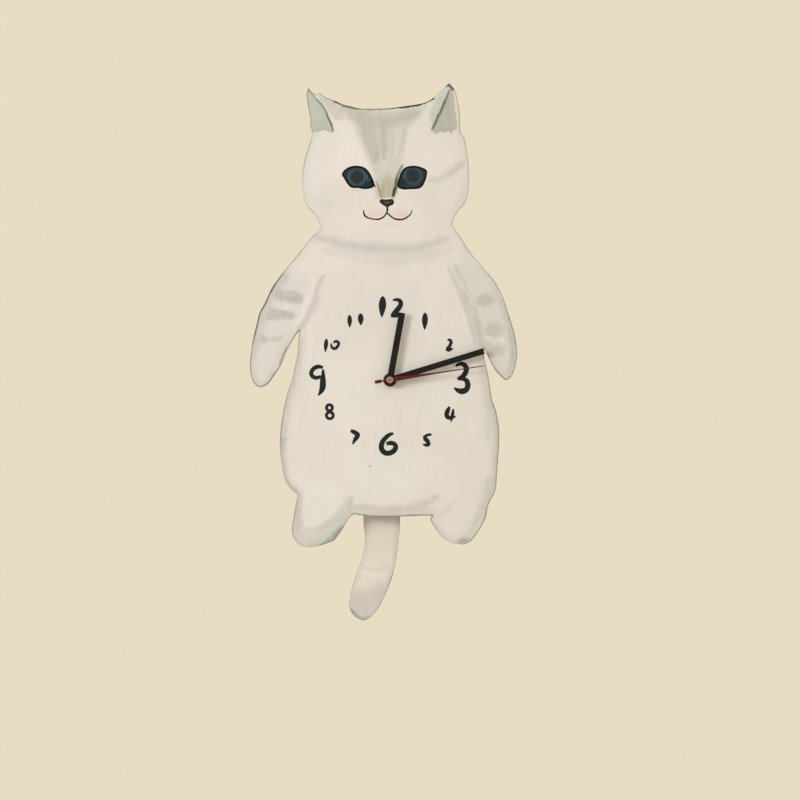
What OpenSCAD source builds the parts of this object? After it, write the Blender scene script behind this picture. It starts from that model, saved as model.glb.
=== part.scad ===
// Wall clock: a flat wooden cat with painted numerals, a quartz movement behind it
// and a pendulum tail. The clock hangs on one screw. Its front looks along -Y.
//
// Every sub-part is drawn in dial coordinates: X to the right, Y up from the hand
// arbor, Z out of the wall. on_wall() turns them into the frame of the part, whose
// origin is the keyhole of the hanger, on the wall.

/* [Boards] */
// Thickness of the cat board
board_t = 5; // [4:0.5:6]
// Thickness of the tail board
tail_t = 3; // [2:0.5:4]
// Straight pieces between two points of a curved outline
curve_steps = 4; // [2:1:6]

/* [Hands] */
// Length of the hour hand from the arbor
hour_l = 68; // [55:1:75]
// Width of the hour hand
hour_w = 6.4; // [4:0.2:8]
// Length of the minute hand from the arbor
minute_l = 98; // [80:1:110]
// Width of the minute hand
minute_w = 6; // [4:0.2:8]
// Length of the second hand from the arbor
second_l = 95; // [80:1:105]
// Hour hand, degrees clockwise from twelve
hour_angle = 10.3; // [0:0.1:360]
// Minute hand, degrees clockwise from twelve
minute_angle = 72.9; // [0:0.1:360]
// Second hand, degrees clockwise from twelve
second_angle = 81.5; // [0:0.1:360]

/* [Movement case] */
// Width of the case
case_w = 57; // [57:0.5:60]
// Top of the case above the arbor
case_top = 31; // [31:0.5:33]
// Bottom of the case below the arbor
case_bottom = 80; // [80:1:84]
// Depth of the case from the wall
case_d = 26; // [26:0.5:28]
// Thickness of the side walls
case_wall = 1.6; // [1.2:0.1:1.6]

/* [Pendulum] */
// Pivot below the arbor
pivot_y = 38; // [38:0.5:39]
// Lean of the tail from plumb, degrees to the left
tail_lean = 4.5; // [0:0.5:9]

/* [Hanger] */
// Keyhole centre above the arbor
hang_y = 50; // [48:1:54]
// Diameter of the keyhole
key_d = 9; // [8:0.5:10]
// Width of the slot above the keyhole
key_slot = 4.5; // [4:0.5:5]

/* [Hidden] */
$fn = 48;
eps = 0.01;

// ---- levels, out from the wall ----
back_t = 2;                       // case back
front_t = 1.8;                    // front wall of the case
front_in = case_d - front_t;      // its inner face
gasket_t = 1;
board_z = case_d + gasket_t;      // back of the cat board
face_z = board_z + board_t;       // painted face
ink_t = 0.15;
washer_t = 0.6;
nut_z = face_z + washer_t;
nut_t = 2.2;
bush_end = face_z + 4.8;
hour_z = bush_end + 0.6;          // back of each hand
minute_z = hour_z + 1.8;
second_z = minute_z + 2.8;
hand_t = 0.6;
second_t = 0.4;
reach = 1;                        // how far a cut runs past a face

// ---- going train: wheel axes in the dial plane ----
function polar(r, a) = [r*cos(a), r*sin(a)];
module_fine = 0.3;
fine_distance = module_fine*(60 + 8)/2;          // seconds pinion to third wheel
module_center = 2*fine_distance/(8 + 64);        // third pinion to centre wheel
module_cannon = 0.4;
cannon_distance = module_cannon*(12 + 36)/2;     // cannon pinion to motion wheel
module_hour = 2*cannon_distance/(10 + 40);       // motion pinion to hour wheel
third_dir = 200;
step_dir = -90;
rotor_dir = 205;
motion_dir = -20;
setting_dir = -58.8;
arbor_third = polar(fine_distance, third_dir);
arbor_step = polar(module_fine*(60 + 10)/2, step_dir);
arbor_rotor = arbor_step + polar(module_fine*(40 + 8)/2, rotor_dir);
arbor_motion = polar(cannon_distance, motion_dir);
arbor_setting = arbor_motion + polar(cannon_distance, setting_dir);

arbor_r = 0.4;
seconds_r = 0.5;
arbor_start = 2.8;                // back end of the arbors
stem_r = 1;
play = 0.05;                      // radial play of a running fit
tube_play = 0.1;
cannon_r = 1.85;
hour_bore = cannon_r + tube_play;
hour_r = 2.5;
bush_bore = hour_r + tube_play;
bush_r = 4;
motion_post_r = 0.9;
bridge_z = [2.6, 3.8];
pivot_end = case_d - 0.8;         // front end of the arbors, in blind holes
hole_end = case_d - 0.6;
boss_r = 2.2;                     // screw and knob bosses
magnet_r = 3;
hub_r = 0.8;                      // plain neck between two toothed discs

// ---- levels of the toothed discs, from back to front ----
rotor_teeth = [8.4, 9.8];
step_teeth = [8.6, 9.6];
step_pinion_teeth = [11, 12.4];
seconds_teeth = [11.2, 12.2];
seconds_pinion_teeth = [13.4, 14.8];
third_teeth = [13.6, 14.6];
third_pinion_teeth = [14.6, 17.5];
center_teeth = [16.2, 17.2];
center_hub = [15.9, 17.9];
cannon_teeth = [18.6, 20.2];
cannon_tail = 15.8;               // back end of the cannon pinion
motion_teeth = [18.8, 20];
motion_pinion_teeth = [20, 23];
hour_teeth = [21.5, 22.7];
knob_z = [0.3, 2.3];
knob_r = 5;
knob_hole_r = 6;                  // in the case back
third_windows = [5, 5.4, 1.8];    // count, distance and radius of the windows
step_windows = [4, 3.6, 1.2];

pillars = [[-13, 9], [18, 4], [6, -19.5]];
pillar_r = 1.8;
magnet_z = [4.2, 7.2];
magnet_hole_r = 3.4;              // in the stator
stator_z = [5.2, 6.2];
coil_at = [-13, -24];
coil_z = (stator_z[0] + stator_z[1])/2;
coil_r = 3.3;
flange_r = 3.5;
flange_t = 0.8;
spool_r = 1.9;
coil_l = 18;

// ---- pendulum ----
pivot = [0, -pivot_y];
pivot_r = 1;
pivot_z = [6, 20];
pivot_boss_r = 2.5;
pivot_boss_gap = [10.2, 15];      // between the bosses of the case
arm_z = [11.2, 14.2];
arm_hub_r = 3.5;
arm_w = 6;
arm_l = 52;                       // pivot to the end of the arm
drive_y = -32;                    // magnet and drive coil, from the pivot
hook_y = -48;                     // peg that carries the tail strip
hook_r = 1.5;
strip_z = [10.2, 11];
strip_w = 12;
strip_end = [-50, -86];           // from the pivot
tail_z = strip_z[1];
drawn_lean = 4.5;                 // lean at which the tail's outline is drawn
slot_w = 24;
slot_z = [8, 16];
drive_z = [back_t, 7.4];
drive_flange_r = 7;
drive_coil_r = 6.5;
drive_spool_r = 2;

// ---- battery ----
cell_r = 7.1;
cell_l = 49.5;
cell_nub = 1;
nub_r = 2.7;
bay = [[-26.2, 13.7], [26.2, 29.3]];  // opening in the case back
cell_y = 21.5;
cell_z = 8.6;
cell_x = -24.6;                   // flat end
contact_t = 0.5;
contact_w = 11;
contact_tab_r = 2;
wall_in = case_w/2 - case_wall;   // inner face of the side walls
strip_lift = 3.6;

// ---- screws ----
screw_spots = [[-23, 10.5], [23, 10.5], [-24, -75.5], [24, -75.5]];
screw_r = 1;
screw_head_r = 2.1;
screw_end = 12;
screw_sink = 1.3;                 // depth of the sunk heads
tail_screw_y = [-66, -80];        // from the pivot
tail_screw_r = 1.2;
tail_screw_head = [2.2, 1.2];     // radius and height
tail_screw_bite = 2;              // depth in the tail
hanger_screw_r = 1.1;
hanger_head_t = 1.4;
cross_l = 1.3;                    // half length of a cross recess
cross_w = 0.25;                   // half width

// ---- hanger and circuit board ----
hanger_x = [-9, 9];
hanger_t = 1.2;
hanger_w = 30;
hanger_foot = 20;                 // length of the foot on the case
key_rise = 8;                     // keyhole centre to the end of its slot
hanger_screw_z = 11;
board_pcb = [51, 6, 1];           // circuit board
pcb_at = [0, -31.5];
pcb_z = 3.2;
crystal_r = 1;
lead_r = 0.18;

// ---- placing ----
module on_wall() {
    rotate([90, 0, 0]) translate([0, -hang_y, 0]) children();
}
module at(p, z = 0) {
    translate([p[0], p[1], z]) children();
}
// A part of the tail, drawn plumb with the pivot as its origin
module hanging() {
    at(pivot) rotate([0, 0, -tail_lean]) children();
}
module slab(levels) {
    translate([0, 0, levels[0]]) linear_extrude(levels[1] - levels[0]) children();
}
module disc(r, levels) {
    translate([0, 0, levels[0]]) cylinder(h = levels[1] - levels[0], r = r);
}
module ring(r_out, r_in, levels) {
    difference() {
        disc(r_out, levels);
        disc(r_in, through(levels));
    }
}
module block(low, high) {
    translate(low) cube(high - low);
}
// Levels of a cut that runs past both faces
function through(levels) = [levels[0] - reach, levels[1] + reach];
// A cross recess for a screwdriver
module cross_cut(levels) {
    for (a = [0, 90]) rotate([0, 0, a])
        block([-cross_l, -cross_w, levels[0]], [cross_l, cross_w, levels[1]]);
}

// ---- curves ----
// A smooth curve through the points, without the last one, so that stretches join
function curve_at(a, b, c, d, t) =
    (2*b + (c - a)*t + (2*a - 5*b + 4*c - d)*t*t + (3*b - a - 3*c + d)*t*t*t)/2;
function curve(p, steps = curve_steps) = let (n = len(p) - 1) [
    for (i = [0:n - 1], s = [0:steps - 1])
        curve_at(p[max(i - 1, 0)], p[i], p[i + 1], p[min(i + 2, n)], s/steps)
];
function ellipse(c, rx, ry, n = 28) = [for (i = [0:n - 1]) c + [rx*cos(i*360/n), ry*sin(i*360/n)]];

// A brush stroke: points of x, y and width
function unit(v) = v/norm(v);
function xy(v) = [v[0], v[1]];
function across(p, i) = let (
    v = unit(xy(p[min(i + 1, len(p) - 1)]) - xy(p[max(i - 1, 0)]))
) [-v[1], v[0]];
module brush(points) {
    p = concat(curve(points), [points[len(points) - 1]]);
    n = len(p) - 1;
    polygon(concat(
        [for (i = [0:n]) xy(p[i]) + across(p, i)*p[i][2]/2],
        [for (i = [n:-1:0]) xy(p[i]) - across(p, i)*p[i][2]/2]));
}
module leaf(top, tip, w) {
    step = tip - top;
    brush([
        [top[0], top[1], 0.4],
        [top[0] + 0.12*step[0], top[1] + 0.12*step[1], 0.68*w],
        [top[0] + 0.45*step[0], top[1] + 0.45*step[1], w],
        [top[0] + 0.8*step[0], top[1] + 0.8*step[1], 0.55*w],
        [tip[0], tip[1], 0.3]]);
}
module loop(c, rx, ry, w) {
    difference() {
        polygon(ellipse(c, rx, ry));
        polygon(ellipse(c, rx - w, ry - w));
    }
}

// ---- wheels: straight-flanked teeth with backlash ----
// Half widths are in tooth pitches, heights in modules
addendum = 0.75;
dedendum = 1.1;
tip_half = 0.09;
wheel_root_half = 0.3;
pinion_root_half = 0.27;
function teeth(n, m, a0, root) = let (r = m*n/2, pitch = 360/n) [
    for (k = [0:n - 1], c = [[-root, -dedendum], [-tip_half, addendum], [tip_half, addendum],
        [root, -dedendum]]) polar(r + c[1]*m, a0 + (k + c[0])*pitch)
];
module wheel(n, m, a0, levels) {
    slab(levels) polygon(teeth(n, m, a0, wheel_root_half));
}
module pinion(n, m, a0, levels) {
    slab(levels) polygon(teeth(n, m, a0, pinion_root_half));
}
// Tooth angle of the follower, where dir points from the leader to it
function meshed(dir, leader_n, n, leader_a0 = 0) =
    dir + 180 - (leader_n/n)*(leader_a0 - dir) - 180/n;
// Round windows that lighten a toothed disc
module windows(w, levels) {
    for (k = [0:w[0] - 1]) at(polar(w[1], k*360/w[0])) disc(w[2], through(levels));
}

// ---- cat board ----
board_hole_r = bush_r + 0.4;
left_ear_tip = [-81.5, 292];
right_ear_tip = [59, 297];
right_armpit = [94.5, 32];
left_armpit = [-90.5, 50];
crotch_right = [42, -136];
crotch_left = [-35, -134];
left_hip = [-92, -115];
head_top = [left_ear_tip, [-79.5, 289.5], [-74.5, 285.5], [-71, 287], [-67, 284.5], [-63, 282],
    [-53.5, 278.5], [-47, 275.5], [-38.5, 273.5], [-30, 271.5], [-15, 271.5], [0, 272], [22.5, 275],
    [35, 277.5], [43, 282], [51, 289], right_ear_tip];
right_side = [right_ear_tip, [64.5, 290.5], [67, 282.5], [69.5, 268], [70, 253.5], [71, 247],
    [74, 242.5], [76, 234], [78.5, 215.5], [79, 201.5], [78.5, 189], [75.5, 178.5], [69.5, 171],
    [64.5, 163.5], [62.5, 155.5], [66, 149.5], [71.5, 141.5], [78.5, 130], [94, 111.5], [104, 99.5],
    [112.5, 84], [119, 64.5], [124, 48], [127, 32], [127, 23], [125.5, 14.5], [123, 6.5], [120, 2],
    [116.5, 0], [113, 2], [105.5, 10], [98.5, 23], right_armpit];
right_leg = [right_armpit, [94, 26], [95, 18.5], [98.5, 3], [102, -19.5], [106, -31], [109, -48],
    [109, -65.5], [107, -94], [105.5, -110], [100.5, -120.5], [97.5, -127.5], [96, -136.5],
    [91, -147], [83, -159], [78.5, -162.5], [73, -164.5], [69, -164], [62.5, -163], [52.5, -157.5],
    [44, -146], [40.5, -140], crotch_right];
crotch = [crotch_right, [36, -135.5], [11.5, -136.5], [-3, -137], [-18, -136.5], [-31, -135],
    crotch_left];
left_foot = [crotch_left, [-39, -136.5], [-43, -141], [-48, -150], [-52, -155.5], [-56, -160.5],
    [-60, -162], [-66.5, -164.5], [-74.5, -166.5], [-81.5, -167.5], [-87, -166.5], [-91.5, -164],
    [-95, -160], [-97.5, -155], [-98, -148.5], [-97, -140.5], [-93.5, -121], left_hip];
left_leg = [left_hip, [-95.5, -112], [-100, -108], [-104.5, -101.5], [-107.5, -90], [-110, -69],
    [-109, -46], [-104, -18.5], [-98, 1], [-93.5, 21], [-92, 32], [-91.5, 42], left_armpit];
left_side = [left_armpit, [-95, 44], [-103, 30.5], [-109.5, 14.5], [-114.5, 7], [-121.5, -3],
    [-127, -6.5], [-131, -7], [-135, -4.5], [-138, 1], [-139.5, 7], [-140, 18.5], [-137.5, 38],
    [-133.5, 55], [-130.5, 67], [-125, 77.5], [-117.5, 93], [-106.5, 108], [-95, 122], [-83.5, 136.5],
    [-77, 144], [-71.5, 149], [-70, 154.5], [-72.5, 162], [-77.5, 168.5], [-83.5, 175], [-86.5, 185],
    [-88, 198], [-87, 210.5], [-84.5, 223.5], [-78.5, 242.5], [-78, 248], [-80, 256.5], [-79.5, 260.5],
    [-80.5, 265.5], [-83.5, 285], left_ear_tip];

module cat_outline() {
    polygon(concat(curve(head_top), curve(right_side), curve(right_leg), curve(crotch),
        curve(left_foot), curve(left_leg), curve(left_side)));
}
module cat_board() {
    color("antiquewhite") on_wall() difference() {
        slab([board_z, face_z]) cat_outline();
        disc(board_hole_r, through([board_z, face_z]));
    }
}

// ---- tail ----
tail_tip_left = [-40.5, -231];
tail_outline = [[-6, -97], [6.5, -102], [11, -118], [10, -138.5], [9.5, -152], [6.5, -178],
    [1.5, -200.5], [-8, -223], [-18.5, -238], [-29, -242], tail_tip_left, [-39, -211.5], [-31.5, -188.5],
    [-25.5, -164], [-27, -138.5], [-24, -118], [-18.5, -102], [-6, -97]];
module tail_board() {
    color("linen") on_wall() difference() {
        slab([tail_z, tail_z + tail_t]) at(pivot) rotate([0, 0, drawn_lean - tail_lean])
            at(-pivot) polygon(curve(tail_outline));
        hanging() for (y = tail_screw_y) at([0, y])
            disc(tail_screw_r, [tail_z - reach, tail_z + tail_screw_bite]);
    }
}
module tail_strip() {
    color("silver") on_wall() hanging() difference() {
        union() {
            block([-strip_w/2, strip_end[1], strip_z[0]], [strip_w/2, strip_end[0], strip_z[1]]);
            at([0, strip_end[0]]) disc(strip_w/2, strip_z);
        }
        at([0, hook_y]) disc(hook_r, through(strip_z));
        for (y = tail_screw_y) at([0, y]) disc(tail_screw_r, through(strip_z));
    }
}
module tail_screws() {
    color("gray") on_wall() hanging() for (y = tail_screw_y) at([0, y]) {
        disc(tail_screw_head[0], [strip_z[0] - tail_screw_head[1], strip_z[0]]);
        disc(tail_screw_r, [strip_z[0] - eps, tail_z + tail_screw_bite]);
    }
}

// ---- painted numerals ----
module numerals_1_to_6() {
    leaf([35.1, 67.4], [34.6, 50], 5.9);
    brush([[57.4, 40.2, 1.6], [60, 40, 2.8], [61, 37.8, 3.4], [60, 34.6, 3.2], [58.2, 31.6, 4.2],
        [57.8, 29.6, 2.4]]);
    brush([[55.8, 30.6, 2.4], [58.6, 30.2, 3.8], [61, 30.8, 2.6], [63.2, 31.4, 1]]);
    brush([[65.8, 14, 2.4], [70, 16.2, 3.8], [74, 15.3, 4.8], [76.4, 11.6, 5.2], [75.3, 7, 5.2],
        [72.4, 3.4, 4.6], [67.4, 1, 2.8]]);
    brush([[67.6, 1.1, 2.8], [73.2, 1.1, 4], [76.8, -1.2, 5], [77.8, -5.6, 5.4], [76.2, -9.6, 5.6],
        [72.2, -11.3, 6], [68, -10.4, 4.6], [64.2, -7.8, 1.4]]);
    brush([[59.6, -26.6, 2], [58, -30, 4.2], [56.6, -34, 4.6], [57.8, -37.2, 4.4], [61.4, -37.8, 3.4],
        [65.7, -36.2, 1.2]]);
    brush([[63.3, -29, 1.6], [62.6, -34, 3.4], [61.8, -38, 2.8], [61, -42, 0.8]]);
    brush([[41.6, -54.4, 1.8], [38.6, -54.8, 2.8], [35, -56, 2.8]]);
    brush([[34.6, -55.4, 2.6], [35.2, -58.6, 4.2], [37.6, -61.2, 4.4], [39, -64, 3]]);
    brush([[40, -62.4, 1.8], [38.2, -64.6, 3.8], [35.6, -65, 3], [33, -64.4, 1.4]]);
    brush([[3.4, -53.4, 2.2], [-0.6, -54.7, 3.8], [-5, -58.4, 4.6], [-8, -63, 5], [-8.6, -68, 5.2],
        [-6.2, -72, 5.2], [-1.8, -73.3, 5.2], [3, -71.4, 5.2], [5.7, -67.6, 5], [4.6, -64.3, 4.4],
        [1, -63, 4.6], [-3.6, -63.7, 3.4]]);
}
module numerals_7_to_12() {
    brush([[-39.4, -50.6, 2.8], [-36, -52, 4.4], [-32.4, -54.4, 4.6], [-30.6, -55.6, 2.4]]);
    brush([[-30.6, -54.2, 2.4], [-33.2, -57.2, 4.6], [-35.6, -60.6, 3.4], [-37.4, -64.4, 1]]);
    loop([-60.6, -27.7], 4.4, 4.5, 3);
    loop([-60.2, -35.4], 4.9, 4.8, 3);
    brush([[-67, 12.4, 2.6], [-71.6, 13.4, 4.2], [-76.2, 11.6, 4.2], [-78.8, 7.4, 4.2],
        [-77.4, 3.7, 4.2], [-73.6, 2.2, 4], [-69.2, 3.6, 3]]);
    brush([[-67, 10.6, 1.8], [-66.9, 5.5, 3.8], [-67.1, 0, 5.6], [-67.2, -5, 6.2], [-67.9, -9, 5.6],
        [-69.4, -12, 4], [-71.8, -15.6, 1]]);
    leaf([-63.5, 41.3], [-64.8, 27.6], 4.2);
    brush([[-56.6, 37.2, 2], [-54, 38.8, 2.8], [-51.5, 37.2, 3], [-52.2, 34, 3], [-55.4, 31.3, 3],
        [-58.4, 33.2, 2.6], [-58.9, 36.8, 1]]);
    leaf([-40.4, 65.2], [-40.3, 52.3], 4.6);
    leaf([-29.5, 66.6], [-29.1, 54.6], 5.8);
    leaf([-7.1, 83.9], [-8.3, 62.5], 7.4);
    brush([[2.8, 79.8, 1.6], [6.2, 80.3, 3.2], [9.6, 79.3, 4.2], [10.9, 76.4, 4.6], [9.4, 72.8, 5],
        [6.6, 69.4, 5.2], [3.8, 66.6, 4.4], [1.2, 64.2, 2.2]]);
    brush([[0.8, 64, 2.8], [5, 64.6, 4.6], [8.6, 65.4, 4.4], [12.4, 66, 1.6]]);
}
module painted_numerals() {
    color("darkslategray") on_wall() slab([face_z, face_z + ink_t]) {
        numerals_1_to_6();
        numerals_7_to_12();
    }
}

// ---- hands, drawn pointing up ----
module clockwise(a) {
    rotate([0, 0, -a]) children();
}
hour_boss_r = 6;
minute_boss_r = 5.75;
hour_collar = [3.4, 0.4];         // radius and height
thread_r = 1.5;                   // end of the cannon pinion
cap_stem_r = 0.9;
module bar_hand(l, w, hand_boss_r, bore, z) {
    levels = [z, z + hand_t];
    difference() {
        union() {
            slab(levels) translate([-w/2, 0]) square([w, l]);
            disc(hand_boss_r, levels);
        }
        disc(bore, through(levels));
    }
}
module hour_hand() {
    color("#262A2B") on_wall() clockwise(hour_angle) {
        bar_hand(hour_l, hour_w, hour_boss_r, hour_r, hour_z);
        ring(hour_collar[0], hour_r, [hour_z - hour_collar[1], hour_z]);
    }
}
module minute_hand() {
    color("#262A2B") on_wall() clockwise(minute_angle)
        bar_hand(minute_l, minute_w, minute_boss_r, thread_r, minute_z);
}
module second_hand() {
    levels = [second_z, second_z + second_t];
    color("#5A1822") on_wall() clockwise(second_angle) difference() {
        union() {
            slab(levels) polygon([[-2.3, 1.5], [-0.75, 46], [-0.45, second_l], [0.45, second_l],
                [0.75, 46], [2.3, 1.5]]);
            disc(3.7, levels);
            slab(levels) polygon([[-0.8, -1.5], [-0.8, -8.2], [-1.7, -8.8], [-1.7, -15.2],
                [1.7, -15.2], [1.7, -8.8], [0.8, -8.2], [0.8, -1.5]]);
        }
        disc(cap_stem_r, through(levels));
    }
}
module second_hand_cap() {
    z = second_z + second_t;
    cap_r = 3.2;
    cap_floor = z + 0.3;
    color("goldenrod") on_wall() {
        ring(cap_stem_r, seconds_r, [second_z - 0.8, z]);
        ring(cap_r, seconds_r, [z, cap_floor]);
        ring(cap_r, 1.4, [cap_floor - eps, cap_floor + 0.5]);
    }
}
module minute_nut() {
    back = minute_z + hand_t;
    color("goldenrod") on_wall() ring(3, thread_r, [back, back + 1]);
}

// ---- dial fastening ----
bush_fit = bush_r + 0.1;
bush_flange = [5.5, 1];           // radius and thickness
nut_width = 11;
washer_r = 6.7;
module dial_washer() {
    color("goldenrod") on_wall() ring(washer_r, bush_fit, [face_z, nut_z]);
}
module dial_nut() {
    color("gold") on_wall() difference() {
        at([0, 0], nut_z) rotate([0, 0, 15])
            cylinder(h = nut_t, r = nut_width/2/cos(30), $fn = 6);
        disc(bush_r, through([nut_z, nut_z + nut_t]));
    }
}
module rubber_gasket() {
    color("#222222") on_wall() ring(14, bush_fit, [case_d, board_z]);
}
module center_bushing() {
    color("goldenrod") on_wall() difference() {
        union() {
            disc(bush_r, [front_in, bush_end]);
            disc(bush_flange[0], [front_in - bush_flange[1], front_in]);
        }
        disc(bush_bore, through([front_in - bush_flange[1], bush_end]));
    }
}

// ---- case ----
wall_end = front_in + eps;
cell_rib_x = [-16, 16];
module case_box(inset, levels) {
    block([-case_w/2 + inset, -case_bottom + inset, levels[0]],
        [case_w/2 - inset, case_top - inset, levels[1]]);
}
module case_front() {
    color("#1C1D1F") on_wall() difference() {
        union() {
            difference() {
                case_box(0, [back_t, case_d]);
                case_box(case_wall, [back_t - reach, front_in]);
            }
            for (p = screw_spots) at(p) disc(boss_r, [back_t, wall_end]);
            for (p = pillars) at(p) disc(pillar_r, [bridge_z[1], wall_end]);
            at(arbor_motion) disc(motion_post_r, [motion_teeth[0] - 0.4, wall_end]);
            at(arbor_setting) disc(boss_r, [motion_teeth[1] + 1.2, wall_end]);
            at(pivot) disc(pivot_boss_r, [pivot_boss_gap[1], wall_end]);
            for (x = cell_rib_x) block([x - 0.8, cell_y - cell_r - 0.4, cell_z + cell_r],
                [x + 0.8, case_top - case_wall + eps, wall_end]);
        }
        disc(bush_r, through([front_in, case_d]));
        for (p = [arbor_third, arbor_step, arbor_rotor])
            at(p) disc(arbor_r + play, [front_in - reach, hole_end]);
        at(arbor_setting) disc(stem_r + play, [motion_teeth[1], hole_end]);
        at(pivot) disc(pivot_r, [pivot_boss_gap[1] - reach, pivot_z[1]]);
        for (p = screw_spots) at(p) disc(screw_r, [back_t - reach, screw_end + reach]);
        for (x = hanger_x) translate([x, case_top + reach, hanger_screw_z]) rotate([90, 0, 0])
            cylinder(h = 4, r = hanger_screw_r);
        block([-slot_w/2, -case_bottom - reach, slot_z[0]],
            [slot_w/2, -case_bottom + case_wall + reach, slot_z[1]]);
    }
}
module case_back() {
    color("#1C1D1F") on_wall() difference() {
        union() {
            case_box(0, [0, back_t]);
            at(pivot) disc(pivot_boss_r, [back_t - eps, pivot_boss_gap[0]]);
        }
        slab(through([0, back_t])) translate(bay[0]) square(bay[1] - bay[0]);
        at(arbor_setting) disc(knob_hole_r, through([0, back_t]));
        at(pivot) disc(pivot_r, [pivot_z[0], pivot_boss_gap[0] + reach]);
        for (p = screw_spots) at(p) {
            disc(screw_r + tube_play, through([0, back_t]));
            disc(screw_head_r + 0.2, [-reach, screw_sink]);
        }
    }
}
module case_screws() {
    color("silver") on_wall() for (p = screw_spots) at(p) difference() {
        union() {
            disc(screw_head_r, [0.1, screw_sink]);
            disc(screw_r, [screw_sink - eps, screw_end]);
        }
        cross_cut([-reach, 0.7]);
    }
}

// ---- hanger ----
module hanger_bracket() {
    low = case_top;
    color("silver") on_wall() difference() {
        union() {
            block([-hanger_w/2, low, 0], [hanger_w/2, low + hanger_t, hanger_foot]);
            slab([0, hanger_t]) {
                translate([-hanger_w/2, low]) square([hanger_w, hang_y - low]);
                at([0, hang_y]) circle(r = hanger_w/2);
            }
        }
        at([0, hang_y]) disc(key_d/2, through([0, hanger_t]));
        at([0, hang_y + key_rise]) disc(key_slot/2, through([0, hanger_t]));
        slab(through([0, hanger_t])) translate([-key_slot/2, hang_y]) square([key_slot, key_rise]);
        for (x = hanger_x) translate([x, low + 3, hanger_screw_z]) rotate([90, 0, 0])
            cylinder(h = 4, r = hanger_screw_r);
    }
}
module hanger_screws() {
    top = case_top + hanger_t;
    color("gray") on_wall() for (x = hanger_x) translate([x, 0, hanger_screw_z]) rotate([-90, 0, 0])
        difference() {
            union() {
                disc(hanger_screw_r, [case_top - 2.1, top + eps]);
                disc(screw_head_r, [top, top + hanger_head_t]);
            }
            cross_cut([top + 0.8, top + 2]);
        }
}

// ---- battery and contacts ----
module along_x(x, y, z) {
    translate([x, y, z]) rotate([0, 90, 0]) children();
}
module aa_battery() {
    color("#C9A227") on_wall() along_x(cell_x, cell_y, cell_z) {
        cylinder(h = cell_l, r = cell_r);
        cylinder(h = cell_l + cell_nub, r = nub_r);
    }
}
spring_turns = 2.5;
spring_wire = 0.3;
spring_sides = 6;
spring_steps = 30;
spring_rise = cell_x + wall_in - contact_t - 2*spring_wire;
spring_r = [4.6, 2];                // at the wall and at the cell
function spring_ring(t) = let (
    a = 360*spring_turns*t,
    r = spring_r[0]*(1 - t) + spring_r[1]*t,
    c = [r*cos(a), r*sin(a), spring_wire + spring_rise*t]
) [for (k = [0:spring_sides - 1]) let (b = -360*k/spring_sides)
    c + spring_wire*[cos(b)*cos(a), cos(b)*sin(a), sin(b)]];
module battery_spring() {
    rings = [for (i = [0:spring_steps]) spring_ring(i/spring_steps)];
    n = spring_sides;
    color("silver") on_wall() along_x(contact_t - wall_in, cell_y, cell_z) polyhedron(
        points = [for (r = rings) each r],
        faces = concat(
            [[for (k = [n - 1:-1:0]) k]],
            [for (i = [0:spring_steps - 1], k = [0:n - 1])
                [i*n + k, i*n + (k + 1)%n, (i + 1)*n + (k + 1)%n, (i + 1)*n + k]],
            [[for (k = [0:n - 1]) spring_steps*n + k]]));
}
// A strip down the side wall from the cell to the circuit board, on the right
module contact_strip() {
    foot_y = pcb_at[1];
    pad_low = cell_y - contact_w/2;
    strip_top = 8;
    pcb_top = pcb_z + board_pcb[2];
    block([wall_in - contact_t, pad_low, strip_lift], [wall_in, pad_low + contact_w, 13.6]);
    block([wall_in - contact_t, foot_y - 2, strip_lift], [wall_in, pad_low + 0.1, strip_top]);
    block([board_pcb[0]/2 - 3, foot_y - 2, pcb_top], [wall_in, foot_y + 2, pcb_top + 0.4]);
}
module positive_contact() {
    tip = cell_x + cell_l + cell_nub;
    color("silver") on_wall() {
        contact_strip();
        along_x(tip, cell_y, cell_z) cylinder(h = wall_in - contact_t - tip + eps,
            r = contact_tab_r);
    }
}
module negative_contact() {
    color("silver") on_wall() mirror([1, 0, 0]) contact_strip();
}

// ---- electronics ----
module circuit_board() {
    color("#1F5A35") on_wall() at(pcb_at, pcb_z)
        translate([-board_pcb[0]/2, -board_pcb[1]/2, 0]) cube(board_pcb);
}
module ic_chip() {
    top = pcb_z + board_pcb[2];
    color("#111111") on_wall() at(pcb_at) translate([8, 0, 0]) {
        disc(2.4, [top, top + 0.7]);
        disc(1.6, [top + 0.7 - eps, top + 1.1]);
    }
}
module quartz_crystal() {
    lead_l = 1.4;
    color("silver") on_wall() along_x(13, pcb_at[1], pcb_z + board_pcb[2] + crystal_r) {
        cylinder(h = 6, r = crystal_r);
        for (y = [-0.4, 0.4]) translate([0, y, -lead_l]) cylinder(h = lead_l + eps, r = lead_r);
    }
}

// ---- stepping motor ----
module on_coil() {
    along_x(coil_at[0] - coil_l/2, coil_at[1], coil_z) children();
}
core_y = 1.2;                     // half height of the core
core_z = 0.5;                     // half thickness of the core
module coil_bobbin() {
    color("#E8E4D8") on_wall() on_coil() difference() {
        union() {
            disc(flange_r, [0, flange_t]);
            disc(spool_r, [flange_t - eps, coil_l - flange_t + eps]);
            disc(flange_r, [coil_l - flange_t, coil_l]);
        }
        block([-core_z, -core_y, -reach], [core_z, core_y, coil_l + reach]);
    }
}
module coil_winding() {
    color("#B5651D") on_wall() on_coil() ring(coil_r, spool_r, [flange_t, coil_l - flange_t]);
}
leg_in = coil_l/2 + 0.6;          // from the middle of the coil to the legs
leg_out = leg_in + 2.4;
module coil_core() {
    color("gray") on_wall() at(coil_at)
        block([-leg_in, -core_y, stator_z[0]], [leg_in, core_y, stator_z[1]]);
}
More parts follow.
